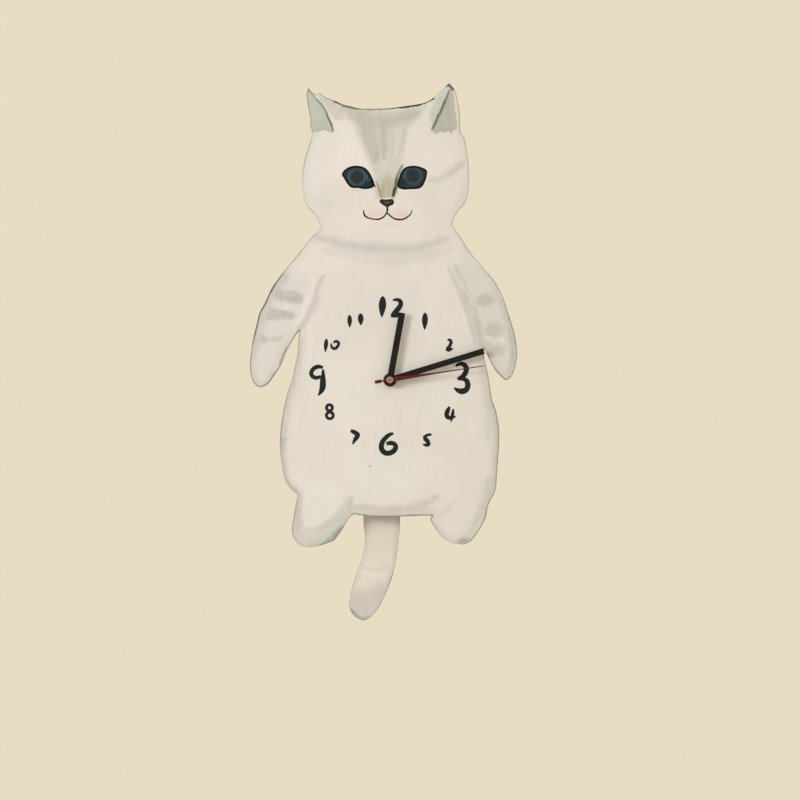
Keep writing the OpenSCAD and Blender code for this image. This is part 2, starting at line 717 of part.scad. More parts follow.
module stator() {
    color("gray") on_wall() difference() {
        slab(stator_z) {
            at(arbor_rotor) circle(r = 5.6);
            at(coil_at) {
                polygon([[-leg_out, -core_y], [-leg_in, -core_y], [-leg_in, 4.6], [2.4, 6.6],
                    [2.4, 12], [-2, 12], [-leg_out, 7.4]]);
                polygon([[leg_in, -core_y], [leg_out, -core_y], [leg_out, 8], [8, 14], [6, 6.6],
                    [leg_in, 4.6]]);
            }
        }
        at(arbor_rotor) disc(magnet_hole_r, through(stator_z));
    }
}
module rotor_magnet() {
    color("#3A3A3A") on_wall() at(arbor_rotor) ring(magnet_r, hub_r, magnet_z);
}
module rotor_pinion() {
    color("ivory") on_wall() at(arbor_rotor) {
        disc(arbor_r, [arbor_start, pivot_end]);
        disc(hub_r, [magnet_z[0], rotor_teeth[0] + eps]);
        pinion(8, module_fine, meshed(rotor_dir, 40, 8), rotor_teeth);
    }
}

// ---- wheels and pinions ----
module step_wheel() {
    color("ivory") on_wall() at(arbor_step) {
        disc(arbor_r, [arbor_start, pivot_end]);
        difference() {
            wheel(40, module_fine, 0, step_teeth);
            windows(step_windows, step_teeth);
        }
        disc(hub_r, [step_teeth[1] - eps, step_pinion_teeth[0] + eps]);
        pinion(10, module_fine, meshed(step_dir, 60, 10), step_pinion_teeth);
    }
}
module seconds_wheel() {
    color("white") on_wall() {
        disc(seconds_r, [arbor_start, second_z + second_t + 0.6]);
        difference() {
            wheel(60, module_fine, 0, seconds_teeth);
            windows(third_windows, seconds_teeth);
        }
        disc(hub_r, [seconds_teeth[1] - eps, seconds_pinion_teeth[0] + eps]);
        pinion(8, module_fine, 0, seconds_pinion_teeth);
    }
}
module third_wheel() {
    color("ivory") on_wall() at(arbor_third) {
        disc(arbor_r, [arbor_start, pivot_end]);
        difference() {
            wheel(60, module_fine, meshed(third_dir, 8, 60), third_teeth);
            windows(third_windows, third_teeth);
        }
        pinion(8, module_center, 0, third_pinion_teeth - [eps, 0]);
    }
}
friction_r = 1.2;
module center_wheel() {
    color("white") on_wall() difference() {
        union() {
            wheel(64, module_center, meshed(third_dir - 180, 8, 64), center_teeth);
            disc(2.2, center_hub);
        }
        windows(third_windows, center_hub);
        disc(friction_r + play, through(center_hub));
    }
}
module cannon_pinion() {
    thread_end = minute_z + hand_t + 1.2;
    color("ivory") on_wall() difference() {
        union() {
            disc(friction_r, [cannon_tail, cannon_teeth[0] + eps]);
            pinion(12, module_cannon, 0, cannon_teeth);
            disc(cannon_r, [cannon_teeth[1] - eps, minute_z]);
            disc(thread_r, [minute_z - eps, thread_end]);
        }
        disc(seconds_r + play, through([cannon_tail, thread_end]));
    }
}
motion_a0 = meshed(motion_dir, 12, 36);
module motion_wheel() {
    color("ivory") on_wall() at(arbor_motion) difference() {
        union() {
            wheel(36, module_cannon, motion_a0, motion_teeth);
            pinion(10, module_hour, 0, motion_pinion_teeth - [eps, 0]);
        }
        disc(motion_post_r + play, through([motion_teeth[0], motion_pinion_teeth[1]]));
    }
}
module hour_wheel() {
    color("white") on_wall() difference() {
        union() {
            wheel(40, module_hour, meshed(motion_dir - 180, 10, 40), hour_teeth);
            disc(hour_r, [hour_teeth[0], hour_z + hand_t]);
        }
        disc(hour_bore, through([hour_teeth[0], hour_z + hand_t]));
    }
}
module setting_knob() {
    grips = 12;
    color("ivory") on_wall() at(arbor_setting) {
        pinion(12, module_cannon, meshed(setting_dir, 36, 12, motion_a0), motion_teeth);
        disc(stem_r, [knob_z[1] - 0.3, pivot_end]);
        difference() {
            disc(knob_r, knob_z);
            for (k = [0:grips - 1]) at(polar(knob_r + 0.4, k*360/grips))
                disc(0.8, through(knob_z));
            ring(3.6, 2.2, [0, 0.9]);
        }
    }
}
module train_bridge() {
    color("#D8D4C8") on_wall() difference() {
        slab(bridge_z) polygon([[-15.5, 11.5], [-10, 11.5], [4, 6], [20.5, 6.5], [20.5, -2], [18, -16],
            [9, -22], [3.5, -22], [-11.5, -17.5], [-15.5, -6]]);
        disc(seconds_r + play, through(bridge_z));
        for (p = [arbor_third, arbor_step, arbor_rotor]) at(p) disc(arbor_r + play, through(bridge_z));
        at(arbor_setting) disc(stem_r + play, through(bridge_z));
    }
}

// ---- pendulum drive ----
module pendulum_pivot() {
    color("silver") on_wall() at(pivot) disc(pivot_r, pivot_z);
}
module pendulum_arm() {
    color("ivory") on_wall() hanging() difference() {
        union() {
            disc(arm_hub_r, arm_z);
            block([-arm_w/2, -arm_l, arm_z[0]], [arm_w/2, 0, arm_z[1]]);
            at([0, hook_y]) disc(hook_r, [strip_z[0] - 0.8, arm_z[0] + eps]);
        }
        disc(pivot_r + play, through(arm_z));
    }
}
module pendulum_magnet() {
    color("#4A4A4A") on_wall() hanging() at([0, drive_y]) disc(4, [arm_z[0] - 3, arm_z[0]]);
}
module drive_bobbin() {
    color("#E8E4D8") on_wall() at(pivot) at([0, drive_y]) {
        disc(drive_flange_r, [drive_z[0], drive_z[0] + flange_t]);
        disc(drive_spool_r, drive_z);
        disc(drive_flange_r, [drive_z[1] - flange_t, drive_z[1]]);
    }
}
module drive_coil() {
    color("#B5651D") on_wall() at(pivot) at([0, drive_y])
        ring(drive_coil_r, drive_spool_r, drive_z + [flange_t, -flange_t]);
}

cat_board();
tail_board();
painted_numerals();
hour_hand();
minute_hand();
second_hand();
second_hand_cap();
minute_nut();
dial_washer();
dial_nut();
rubber_gasket();
center_bushing();
case_front();
case_back();
case_screws();
hanger_bracket();
hanger_screws();
aa_battery();
battery_spring();
negative_contact();
positive_contact();
circuit_board();
ic_chip();
quartz_crystal();
coil_bobbin();
coil_winding();
coil_core();
stator();
rotor_magnet();
rotor_pinion();
step_wheel();
seconds_wheel();
third_wheel();
center_wheel();
cannon_pinion();
motion_wheel();
hour_wheel();
setting_knob();
train_bridge();
pendulum_pivot();
pendulum_arm();
pendulum_magnet();
drive_bobbin();
drive_coil();
tail_strip();
tail_screws();
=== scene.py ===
"""Looks of the cat wall clock: painted boards, ink, hands, brass and the plastic movement.

Everything is in metres in the frame of the CAD part. The painting is laid out in dial
millimetres: x to the right and y up from the arbor of the hands.
"""

import math

import bpy
import numpy as np
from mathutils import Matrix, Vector
from mathutils.geometry import delaunay_2d_cdt


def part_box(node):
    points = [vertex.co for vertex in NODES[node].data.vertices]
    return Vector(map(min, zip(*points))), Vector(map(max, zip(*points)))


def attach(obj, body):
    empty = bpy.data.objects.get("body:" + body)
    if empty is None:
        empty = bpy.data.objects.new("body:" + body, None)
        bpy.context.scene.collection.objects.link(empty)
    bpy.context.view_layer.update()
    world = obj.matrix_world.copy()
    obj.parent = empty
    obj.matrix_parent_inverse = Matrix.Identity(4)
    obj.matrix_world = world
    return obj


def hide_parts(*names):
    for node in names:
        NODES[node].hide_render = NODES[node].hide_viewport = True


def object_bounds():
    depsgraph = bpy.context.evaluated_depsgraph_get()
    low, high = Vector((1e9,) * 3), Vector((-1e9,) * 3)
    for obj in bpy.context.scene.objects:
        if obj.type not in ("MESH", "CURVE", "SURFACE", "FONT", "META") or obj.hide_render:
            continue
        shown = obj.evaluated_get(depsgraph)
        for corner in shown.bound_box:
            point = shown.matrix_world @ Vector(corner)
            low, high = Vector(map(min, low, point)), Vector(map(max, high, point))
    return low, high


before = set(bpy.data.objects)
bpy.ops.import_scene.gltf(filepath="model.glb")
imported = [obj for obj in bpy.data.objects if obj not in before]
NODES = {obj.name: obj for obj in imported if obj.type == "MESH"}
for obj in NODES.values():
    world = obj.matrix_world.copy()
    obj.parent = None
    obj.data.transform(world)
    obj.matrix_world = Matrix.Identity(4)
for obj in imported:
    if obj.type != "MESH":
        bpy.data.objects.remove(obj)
cad_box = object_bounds()

MM = 0.001
ROOT = "clock"

# ---- Places, from the frame ----
washer_low, washer_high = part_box("dial_washer")
ARBOR = (washer_low + washer_high) / 2
FACE_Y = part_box("cat_board")[0].y
HOLE_R = 4.4  # of the cat board, in mm


def row(x, y, out=0.0, face=FACE_Y):
    """A dial point, that many millimetres in front of a face, in the frame of the part."""
    return Vector((ARBOR.x + x * MM, face - out * MM, ARBOR.z + y * MM))


def new_object(name, data):
    made = bpy.data.objects.new(name, data)
    bpy.context.scene.collection.objects.link(made)
    return made


# ---- Camera, floor and light ----
VIEW_CENTRE = (10, -20)  # dial point in the middle of the picture
VIEW_WIDTH = 800  # millimetres of the face that the picture spans
CAMERA_AWAY = 2.2  # from the wall plane
SENSOR = 36
FLOOR_DROP = 0.35  # below the tail
FLOOR_SIZE = 1.7


def make_camera():
    camera = bpy.data.cameras.new("camera")
    camera.sensor_width = SENSOR
    camera.lens = SENSOR * (CAMERA_AWAY + FACE_Y) / (VIEW_WIDTH * MM)
    camera.clip_end = 50
    holder = new_object("camera", camera)
    aim = row(*VIEW_CENTRE)
    holder.location = (aim.x, -CAMERA_AWAY, aim.z)
    holder.rotation_euler = (math.pi / 2, 0, 0)
    bpy.context.scene.camera = holder


def make_world(colour, strength):
    world = bpy.data.worlds.new("room")
    world.use_nodes = True
    background = world.node_tree.nodes["Background"]
    background.inputs["Color"].default_value = (*colour, 1)
    background.inputs["Strength"].default_value = strength
    bpy.context.scene.world = world


def make_area_light(name, place, size, power, colour):
    light = bpy.data.lights.new(name, "AREA")
    light.shape = "DISK"
    light.size = size
    light.energy = power
    light.color = colour
    holder = new_object(name, light)
    holder.location = place
    target = row(*VIEW_CENTRE)
    holder.rotation_euler = (target - Vector(place)).to_track_quat("-Z", "Y").to_euler()


def make_floor():
    lowest = cad_box[0].z
    half = FLOOR_SIZE / 2
    corners = [(-half, -half), (half, -half), (half, half), (-half, half)]
    mesh = bpy.data.meshes.new("floor")
    mesh.from_pydata([(x, y, lowest - FLOOR_DROP) for x, y in corners], [], [(0, 1, 2, 3)])
    floor = new_object("floor", mesh)
    floor.data.materials.append(plain("floor_paint", (0.78, 0.73, 0.60), 0.8, mottle=(3, 0.04)))


# ---- Colours and shader helpers ----
# Light that falls on the face, so that a colour seen in it can be turned into its pigment
LIGHT = np.array([1.15, 1.07, 0.92])


def linear(code):
    """Linear red, green and blue of a #RRGGBB colour."""
    value = np.array([int(code[i : i + 2], 16) for i in (1, 3, 5)]) / 255
    return np.where(value <= 0.04045, value / 12.92, ((value + 0.055) / 1.055) ** 2.4)


def pigment(code):
    return np.clip(linear(code) / LIGHT, 0, 0.92)


class Shader:
    """A new material with its main shader, and short calls for the nodes that feed it."""

    def __init__(self, name, roughness=0.5, metallic=0.0, specular=0.5):
        self.material = bpy.data.materials.new(name)
        self.material.use_nodes = True
        self.nodes = self.material.node_tree.nodes
        self.links = self.material.node_tree.links
        self.main = self.nodes["Principled BSDF"]
        self.set("Roughness", roughness)
        self.set("Metallic", metallic)
        self.set("Specular IOR Level", specular)

    def put(self, value, socket):
        """Joins a node's output to a socket, or sets the socket to a constant."""
        if isinstance(value, bpy.types.NodeSocket):
            self.links.new(value, socket)
        else:
            socket.default_value = value

    def set(self, name, value):
        self.put(value, self.main.inputs[name])

    def node(self, kind, **settings):
        made = self.nodes.new(kind)
        for key, value in settings.items():
            setattr(made, key, value)
        return made

    def feed(self, node, **inputs):
        """Puts values into inputs by name, where a space in the name is written as _."""
        for key, value in inputs.items():
            self.put(value, node.inputs[key.replace("_", " ")])

    def coordinates(self, stretch=(1, 1, 1), turn=(0, 0, 0), centre=(0, 0, 0)):
        """Object coordinates, which are the part's own, moved, turned and stretched."""
        source = self.node("ShaderNodeTexCoord").outputs["Object"]
        moved = self.node("ShaderNodeMapping")
        self.feed(moved, Vector=source, Location=tuple(-c for c in centre))
        shaped = self.node("ShaderNodeMapping")
        self.feed(shaped, Vector=moved.outputs[0], Rotation=turn, Scale=stretch)
        return shaped.outputs[0]

    def noise(self, scale, detail=3.0, **where):
        made = self.node("ShaderNodeTexNoise")
        self.feed(made, Vector=self.coordinates(**where), Scale=scale, Detail=detail)
        return made.outputs["Fac"]

    def ramp(self, value, low, high, start=0.3, end=0.7):
        """A factor turned into a range of numbers."""
        made = self.node("ShaderNodeMapRange")
        self.feed(made, Value=value, From_Min=start, From_Max=end, To_Min=low, To_Max=high)
        return made.outputs[0]

    def mix(self, factor, first, second, blend="MIX"):
        made = self.node("ShaderNodeMix", data_type="RGBA", blend_type=blend)
        self.put(factor, made.inputs[0])
        for index, colour in ((6, first), (7, second)):
            self.put((*colour, 1) if isinstance(colour, tuple) else colour, made.inputs[index])
        return made.outputs[2]

    def math(self, kind, first, second):
        made = self.node("ShaderNodeMath", operation=kind)
        self.put(first, made.inputs[0])
        self.put(second, made.inputs[1])
        return made.outputs[0]

    def bump(self, height, depth):
        """Adds relief of that depth in millimetres on top of what the normal has already."""
        made = self.node("ShaderNodeBump")
        self.feed(made, Height=height, Distance=depth * MM, Strength=1)
        normal = self.main.inputs["Normal"]
        if normal.is_linked:
            self.links.new(normal.links[0].from_socket, made.inputs["Normal"])
        self.links.new(made.outputs[0], normal)


def scaled(colour, factor):
    return tuple(min(float(c) * factor, 1) for c in colour)


def plain(name, colour, roughness, metallic=0.0, specular=0.5, mottle=(60, 0.1), grain=None):
    """Paint, plastic or metal: a colour that drifts, roughness that drifts and a fine grain.

    mottle is the scale and the size of the drift, grain the scale and depth in millimetres.
    """
    look = Shader(name, roughness, metallic, specular)
    drift = look.noise(mottle[0])
    tone = look.ramp(drift, 0, 1)
    dark, bright = scaled(colour, 1 - mottle[1]), scaled(colour, 1 + mottle[1])
    look.set("Base Color", look.mix(tone, dark, bright))
    look.set("Roughness", look.ramp(drift, roughness * 0.85, min(roughness * 1.15, 1)))
    if grain:
        look.bump(look.noise(grain[0], detail=2), grain[1])
    return look.material


# ---- Curves and meshes in the dial plane ----
def curve(points, steps=6, closed=False):
    """A smooth curve through points, each of which may carry a width too."""
    p = np.array(points, float)
    n = len(p)
    made = []
    for i in range(n if closed else n - 1):
        if closed:
            a, b, c, d = p[i - 1], p[i], p[(i + 1) % n], p[(i + 2) % n]
        else:
            a, b, c, d = p[max(i - 1, 0)], p[i], p[i + 1], p[min(i + 2, n - 1)]
        for t in np.arange(steps) / steps:
            cubic = 3 * b - a - 3 * c + d
            square = 2 * a - 5 * b + 4 * c - d
            made.append((2 * b + (c - a) * t + square * t**2 + cubic * t**3) / 2)
    if not closed:
        made.append(p[-1])
    return np.array(made)


def brush(points, steps=6):
    """The outline of a brush stroke through points of x, y and width."""
    p = curve(points, steps)
    along = np.gradient(p[:, :2], axis=0)
    along /= np.linalg.norm(along, axis=1)[:, None]
    side = np.stack([-along[:, 1], along[:, 0]], 1) * p[:, 2:] / 2
    return np.concatenate([p[:, :2] + side, (p[:, :2] - side)[::-1]])


def area_of(loop):
    after = np.roll(loop, -1, axis=0)
    return float((loop[:, 0] * after[:, 1] - loop[:, 1] * after[:, 0]).sum() / 2)


def anticlockwise(loop):
    return loop if area_of(loop) > 0 else loop[::-1]


def inset(loop, depth):
    """An anticlockwise loop moved inwards, each point along its mitre."""
    edge = np.roll(loop, -1, axis=0) - loop
    edge /= np.linalg.norm(edge, axis=1)[:, None]
    inward = np.stack([-edge[:, 1], edge[:, 0]], 1)
    both = inward + np.roll(inward, 1, axis=0)
    length = np.maximum((both**2).sum(1), 0.8)[:, None]  # no long spike at a sharp corner
    return loop + both * 2 * depth / length


def inside(at, loop):
    """Whether each point lies inside a closed loop."""
    odd = np.zeros(len(at), bool)
    for (ax, ay), (bx, by) in zip(loop, np.roll(loop, -1, axis=0)):
        if ay == by:
            continue
        crosses = (ay > at[:, 1]) != (by > at[:, 1])
        odd ^= crosses & (at[:, 0] < (bx - ax) * (at[:, 1] - ay) / (by - ay) + ax)
    return odd


def with_depth(points, value):
    """Points of x, y with one more column, the same for all."""
    return np.column_stack([points, np.full(len(points), value)])


def from_path(at, path):
    """Distance to a path of x, y and width, as a share of its half width there."""
    best = np.full(len(at), np.inf)
    for a, b in zip(path, path[1:]):
        step = b[:2] - a[:2]
        t = np.clip((at - a[:2]) @ step / max(step @ step, 1e-9), 0, 1)
        gap = np.hypot(*(at - a[:2] - t[:, None] * step).T)
        best = np.minimum(best, gap / ((a[2] + t * (b[2] - a[2])) / 2))
    return best


def from_loop(at, loop):
    """Distance to a closed loop in millimetres."""
    ring = np.concatenate([loop, loop[:1]])
    return from_path(at, with_depth(ring, 2.0))  # a half width of one millimetre


def hexagonal(low, high, spacing):
    """Points of a hexagonal grid over a rectangle."""
    rise = spacing * math.sqrt(3) / 2
    y = np.arange(low[1], high[1], rise)
    x = np.arange(low[0], high[0], spacing)
    grid = np.stack(np.meshgrid(x, y), -1)
    grid[1::2, :, 0] += spacing / 2
    return grid.reshape(-1, 2)


def fill(loops, grid_points):
    """Triangles of the area inside the first loop and outside the others."""
    chain = np.concatenate([*loops, grid_points])
    edges, start = [], 0
    for loop in loops:
        n = len(loop)
        edges += [(start + i, start + (i + 1) % n) for i in range(n)]
        start += n
    points, _, faces, *_ = delaunay_2d_cdt([Vector(p) for p in chain], edges, [], 0, 1e-7)
    points = np.array([tuple(p) for p in points])
    faces = np.array([tuple(f) for f in faces])
    middle = points[faces].mean(1)
    keep = inside(middle, loops[0])
    for hole in loops[1:]:
        keep &= ~inside(middle, hole)
    return points, faces[keep]


NO_POINTS = np.zeros((0, 2))
SAME_POINT = 1e-4  # the grid in millimetres on which two points are one
WELD = 0.002  # the distance in millimetres for the weld modifiers


class Solid:
    """A mesh put together from pieces in the dial plane, whose shared points are merged."""

    def __init__(self, name, face=FACE_Y):
        self.name, self.face = name, face
        self.points, self.faces, self.slots, self.count = [], [], [], 0

    def add(self, points, faces, slot):
        """points are x, y and millimetres in front of the face."""
        self.points.append(np.asarray(points, float))
        self.faces += [tuple(int(i) + self.count for i in f) for f in faces]
        self.slots += [slot] * len(faces)
        self.count += len(points)

    def cap(self, loops, grid_points, out, slot=0, towards_viewer=True):
        points, faces = fill(loops, grid_points)
        if not towards_viewer:
            faces = faces[:, ::-1]
        self.add(with_depth(points, out), faces, slot)

    def wall(self, first, first_out, second, second_out, slot=0):
        """A band between two loops of as many points, seen from outside the first loop."""
        n = len(first)
        points = np.concatenate([with_depth(first, first_out), with_depth(second, second_out)])
        faces = [(i, n + i, n + (i + 1) % n, (i + 1) % n) for i in range(n)]
        self.add(points, faces, slot)

    def build(self, materials, colours):
        """The finished object, with colours worked out at its points."""
        points = np.concatenate(self.points)
        keys = np.round(points / SAME_POINT).astype(np.int64)
        _, first, back = np.unique(keys, axis=0, return_index=True, return_inverse=True)
        back = back.ravel()
        shared = points[first]
        faces, slots = [], []
        for face, slot in zip(self.faces, self.slots):
            corners = list(dict.fromkeys(int(back[i]) for i in face))
            if len(corners) > 2:
                faces.append(corners)
                slots.append(slot)
        mesh = bpy.data.meshes.new(self.name)
        mesh.from_pydata([row(*p, face=self.face) for p in shared], [], faces)
        mesh.polygons.foreach_set("material_index", slots)
        for material in materials:
            mesh.materials.append(material)
        values = np.ones((len(shared), 4), np.float32)
        values[:, :3] = colours(shared[:, :2])
        attribute = mesh.attributes.new("paint", "FLOAT_COLOR", "POINT")
        attribute.data.foreach_set("color", values.ravel())
        mesh.validate()
        return new_object(self.name, mesh)


def smooth(piece, angle_deg):
    """Smooth shading that keeps edges sharper than the angle."""
    piece.data.shade_smooth()
    piece.data.set_sharp_from_angle(angle=math.radians(angle_deg))


# ---- Painting ----
NOISE_CELLS = 97  # before the noise repeats
FINE_WIDTH = 6  # strokes and spots below this size have a crisp edge
FINE_EDGE = 3  # and so have patches whose edge is softer over less than this


def soft_step(t):
    t = np.clip(t, 0, 1)
    return t * t * (3 - 2 * t)


def value_noise(at, cell, seed):
    """Smooth noise from -1 to 1, in cells of that width and height in millimetres."""
    grid = np.random.default_rng(seed).uniform(-1, 1, (NOISE_CELLS, NOISE_CELLS))
    p = at / np.array(cell, float)
    whole = np.floor(p).astype(int)
    fx, fy = soft_step(p - whole).T
    ix, iy = whole.T % NOISE_CELLS
    jx, jy = (ix + 1) % NOISE_CELLS, (iy + 1) % NOISE_CELLS
    low = grid[ix, iy] * (1 - fx) + grid[jx, iy] * fx
    high = grid[ix, jy] * (1 - fx) + grid[jx, jy] * fx
    return low * (1 - fy) + high * fy


def wobbled(at, size, cell, seed):
    """The points pushed about a little, so that a painted edge isn't a drawn one."""
    push = [value_noise(at, (cell, cell), seed + k) for k in range(2)]
    return at + size * np.stack(push, 1)


class Paint:
    """Colours laid over points, layer by layer, with crisp edges or loose ones."""

    def __init__(self, at, base):
        self.crisp = wobbled(at, size=0.35, cell=2.5, seed=31)
        self.loose = wobbled(at, size=1.2, cell=8, seed=11)
        self.colour = np.tile(pigment(base), (len(at), 1))
        streak = value_noise(at, (5, 17), 51) * 0.6 + value_noise(at, (17, 5), 52) * 0.4
        self.streak = 1 + 0.22 * streak  # paint that covers more and less

    def lay(self, mask, colour, strength=1.0):
        share = np.clip(mask * strength * self.streak, 0, 1)[:, None]
        self.colour += (pigment(colour) - self.colour) * share

    def stroke(self, colour, width, path, strength=0.9, soft=1.0):
        """A stroke along a path of x, y points, thinner at its ends."""
        p = curve(path, 4)
        taper = 0.65 + 0.35 * np.sin(np.linspace(0, math.pi, len(p)))  # thickest in the middle
        at = self.crisp if width < FINE_WIDTH else self.loose
        gap = from_path(at, np.column_stack([p, width * taper]))
        self.lay(soft_step((1 - gap) / soft), colour, strength)

    def spot(self, colour, centre, across, up, strength=0.9, tilt=0.0, soft=0.8):
        """A soft ellipse, tilted by degrees."""
        turn = math.radians(tilt)
        x, y = ((self.crisp if across < FINE_WIDTH else self.loose) - centre).T
        u = (x * math.cos(turn) + y * math.sin(turn)) / across
        v = (y * math.cos(turn) - x * math.sin(turn)) / up
        self.lay(soft_step((1 - np.hypot(u, v)) / soft), colour, strength)

    def patch(self, colour, corners, edge=1.2, strength=0.95):
        """A filled outline with an edge that is soft over that many millimetres."""
        loop = np.array(corners, float)
        at = self.crisp if edge < FINE_EDGE else self.loose
        gap = from_loop(at, loop)
        signed = np.where(inside(at, loop), gap, -gap)
        self.lay(soft_step(0.5 + signed / edge), colour, strength)

    def edge(self, gap, width, soft, share, colour, strength):
        """A line along the outline, from the distance to it, as strong as the share at each point."""
        self.lay(soft_step((width - gap) / soft) * share, colour, strength)


def paint_ears(stroke, spot, patch):
    patch("#D0C7BA", [(-74, 287), (-60, 281), (-47, 273), (-48, 260), (-56, 259), (-64, 272)], 5, 0.85)
    spot("#DCD1CA", (-45, 265), 7, 7, 0.7, soft=1)
    left_inner = [(-84, 285), (-82, 292), (-75.5, 283), (-66.5, 273), (-62, 263.5), (-57.5, 254)]
    left_base = [(-57, 247), (-61.5, 248), (-65, 250), (-69, 249.5), (-73, 247.5), (-78.5, 248)]
    patch("#BCBFB1", left_inner + left_base + [(-80, 260)])
    spot("#C4C7BA", (-73, 266), 5, 12, 0.7, 15, 1)
    spot("#BBB8AA", (-64, 255), 8, 7, 0.7, soft=1)
    stroke("#AEB0A3", 3.5, [(-78, 249.5), (-73, 249.5), (-67, 251), (-61, 249.5)], 0.6, 0.8)
    stroke("#7B8175", 3, [(-81.5, 290), (-75.5, 282.5), (-66.5, 273), (-62, 263), (-58, 254)], soft=0.8)
    stroke("#666B60", 3.4, [(-63.5, 266), (-60, 258.5), (-57.5, 251.5), (-57.3, 249)], soft=0.6)
    stroke("#5F6055", 1.2, [(-83, 288), (-81.5, 272), (-80, 262), (-78.5, 249)], 0.7, 0.8)
    right_side = [(59, 294), (54, 289.5), (47, 282), (43, 276), (40.5, 268), (39.5, 259.5)]
    patch("#C8C9BC", right_side + [(43, 256), (47, 264), (53, 279)], 2.5)
    right_inner = [(49, 266), (56, 284), (62, 295), (64.5, 281), (65.5, 267), (67.5, 252), (63.5, 249.5)]
    right_base = [(61, 246), (58.5, 249.5), (54, 247), (50, 248.5), (46, 245.5), (42, 249)]
    patch("#BAB7A8", right_inner + right_base)
    stroke("#ABA899", 3.5, [(45, 248), (50, 250), (58, 251), (65, 251)], 0.6, 0.8)
    stroke("#777C70", 5.4, [(59.5, 290), (53.5, 275), (47.5, 262), (42, 250.5)], 1)
    stroke("#5E6358", 3, [(58, 286), (51, 270), (46.5, 260), (43, 252)], 0.8)
    stroke("#B0AE9F", 5, [(60, 285), (58, 270), (60, 255)], 0.5)
    stroke("#121412", 5, [(55, 294.5), (59.5, 295), (63, 290.5)], 1.2, 0.5)
    stroke("#4C4D42", 2.4, [(-83, 293), (-80.5, 288.5)], soft=0.5)


def paint_forehead(stroke, patch):
    crown = [(-50, 274), (-36, 270), (-15, 269), (5, 269), (22, 271), (36, 273)]
    lower = [(30, 264), (19, 254), (15, 240), (12, 222), (8, 206), (4, 190), (-11, 190)]
    left = [(-15, 205), (-23, 221), (-29, 236), (-38, 258)]
    patch("#D0CBBF", crown + lower + left, 9, 0.9)
    stroke("#BDB8AA", 25, [(-31, 264), (-24, 250), (-18, 236), (-14, 221)], 0.85)
    stroke("#BFBAAC", 26, [(-46, 269), (-34, 265), (-15, 260), (4, 260), (26, 266)], 0.8)
    stroke("#BEB9AB", 14, [(-10, 262), (-7, 243), (-6, 222)], 0.8)
    stroke("#DDD4CC", 9, [(6, 252), (6, 238), (5, 222)])
    stroke("#C8C3B8", 4, [(15, 257), (14, 241), (12, 226)], 0.7)
    stroke("#D9CFC6", 9, [(-10, 222), (-5, 214), (-1, 206)], 0.8)
    for k in range(11):  # hairs that run together towards the nose
        top = -38 + 6.4 * k
        hair = [(top, 263 + k % 3), (top * 0.75 - 1, 241), (top * 0.42 - 2, 213 + 4 * (k % 2))]
        stroke(("#DED7CD", "#B3AEA0")[k % 2], 2.2, hair, 0.25)
    patch("#C8C2AE", [(-14, 184), (-15, 194), (-11, 203), (-2, 207), (6, 202), (5, 184)], 9, 0.85)
    bridge = [(-9.5, 181.5), (-12, 190), (-8, 200), (-2, 204), (3, 200), (4.5, 190), (2.5, 181.5)]
    patch("#BAB49B", bridge, 8, 0.9)
    stroke("#8F8A70", 1.5, [(-7.5, 196), (-7, 189), (-6.6, 183)], 0.6)
    stroke("#DAD4BC", 1.8, [(-3.5, 195), (-3.6, 189), (-3.6, 183)], 0.7)
    stroke("#777C76", 6, [(12.5, 214), (7.5, 203), (5, 193)], 1)
    stroke("#4A4C42", 6, [(7, 201), (4.8, 192), (3, 184)], 1)
    stroke("#25271E", 3.4, [(4.8, 193), (3.8, 188), (2.9, 183.5)], 1.1)
    stroke("#8E886C", 3.4, [(-13.6, 199), (-10.8, 190), (-8.6, 182)])
    stroke("#F0E9DF", 1.3, [(-9, 181.4), (-5, 181.7), (-1, 181.3), (2.5, 181.7)], soft=0.8)


def paint_crown_line(stroke):
    """The dark line along the top of the head, which is broken in the middle."""
    stroke("#8B8369", 3, [(-48, 273.8), (-38, 271.8), (-26, 270.4)], soft=0.7)
    stroke("#2A2519", 2.8, [(-57, 279.8), (-50, 276.4), (-43, 274.2)], 1.2, 0.5)
    stroke("#564E3A", 2.6, [(-45, 274.4), (-38, 272.8), (-28, 271)], 1.1, 0.5)
    stroke("#8E886F", 2.2, [(-30, 271), (-15, 270.6), (4, 271.4)], 1.1, 0.6)
    stroke("#332D20", 2.7, [(2, 271.8), (16, 273), (30, 275.4), (44, 281.2)], 1.2, 0.5)


def paint_face(stroke, spot):
    spot("#EAE2DA", (-35, 225), 38, 30, 0.8)
    spot("#E9E0D7", (40, 222), 30, 30, 0.7)
    spot("#E7DED5", (0, 162), 66, 24, 0.8)
    spot("#E3DEDB", (-76, 215), 12, 36, 0.6)
    stroke("#D0CABF", 15, [(42, 199), (58, 205), (72, 217)], 0.8)
    stroke("#CAC4B8", 7, [(60, 207), (69, 212), (76, 220)], 0.6)
    stroke("#DDD6CC", 9, [(66, 180), (73, 192), (77, 206)], 0.7, 0.8)
    stroke("#DDD6D1", 14, [(-80, 186), (-70, 180), (-58, 176)], 0.75, 0.8)
    stroke("#DED2CE", 8, [(-76, 176), (-66, 171), (-58, 168)], 0.6, 0.8)
    stroke("#DCD5C9", 9, [(60, 168), (70, 180), (76, 194)], 0.6, 0.8)
    for centre, colour in (((-14.5, 166), "#E7D2C7"), ((9.5, 165.5), "#E5CDB9")):
        spot(colour, centre, 15, 8.5, 0.85)
    spot("#E4D0C4", (-2, 155), 22, 6, 0.5)
    spot("#D3CFC3", (-30, 190.5), 12, 3, 0.6, 3)
    chin = [(-72, 143), (-50, 136), (-24, 132.5), (5, 131.5), (32, 133), (56, 141)]
    stroke("#CDC6BE", 21, chin, 0.85)
    stroke("#D6CFC7", 20, [(-64, 130), (-30, 122), (0, 120), (38, 124), (60, 132)], 0.6)


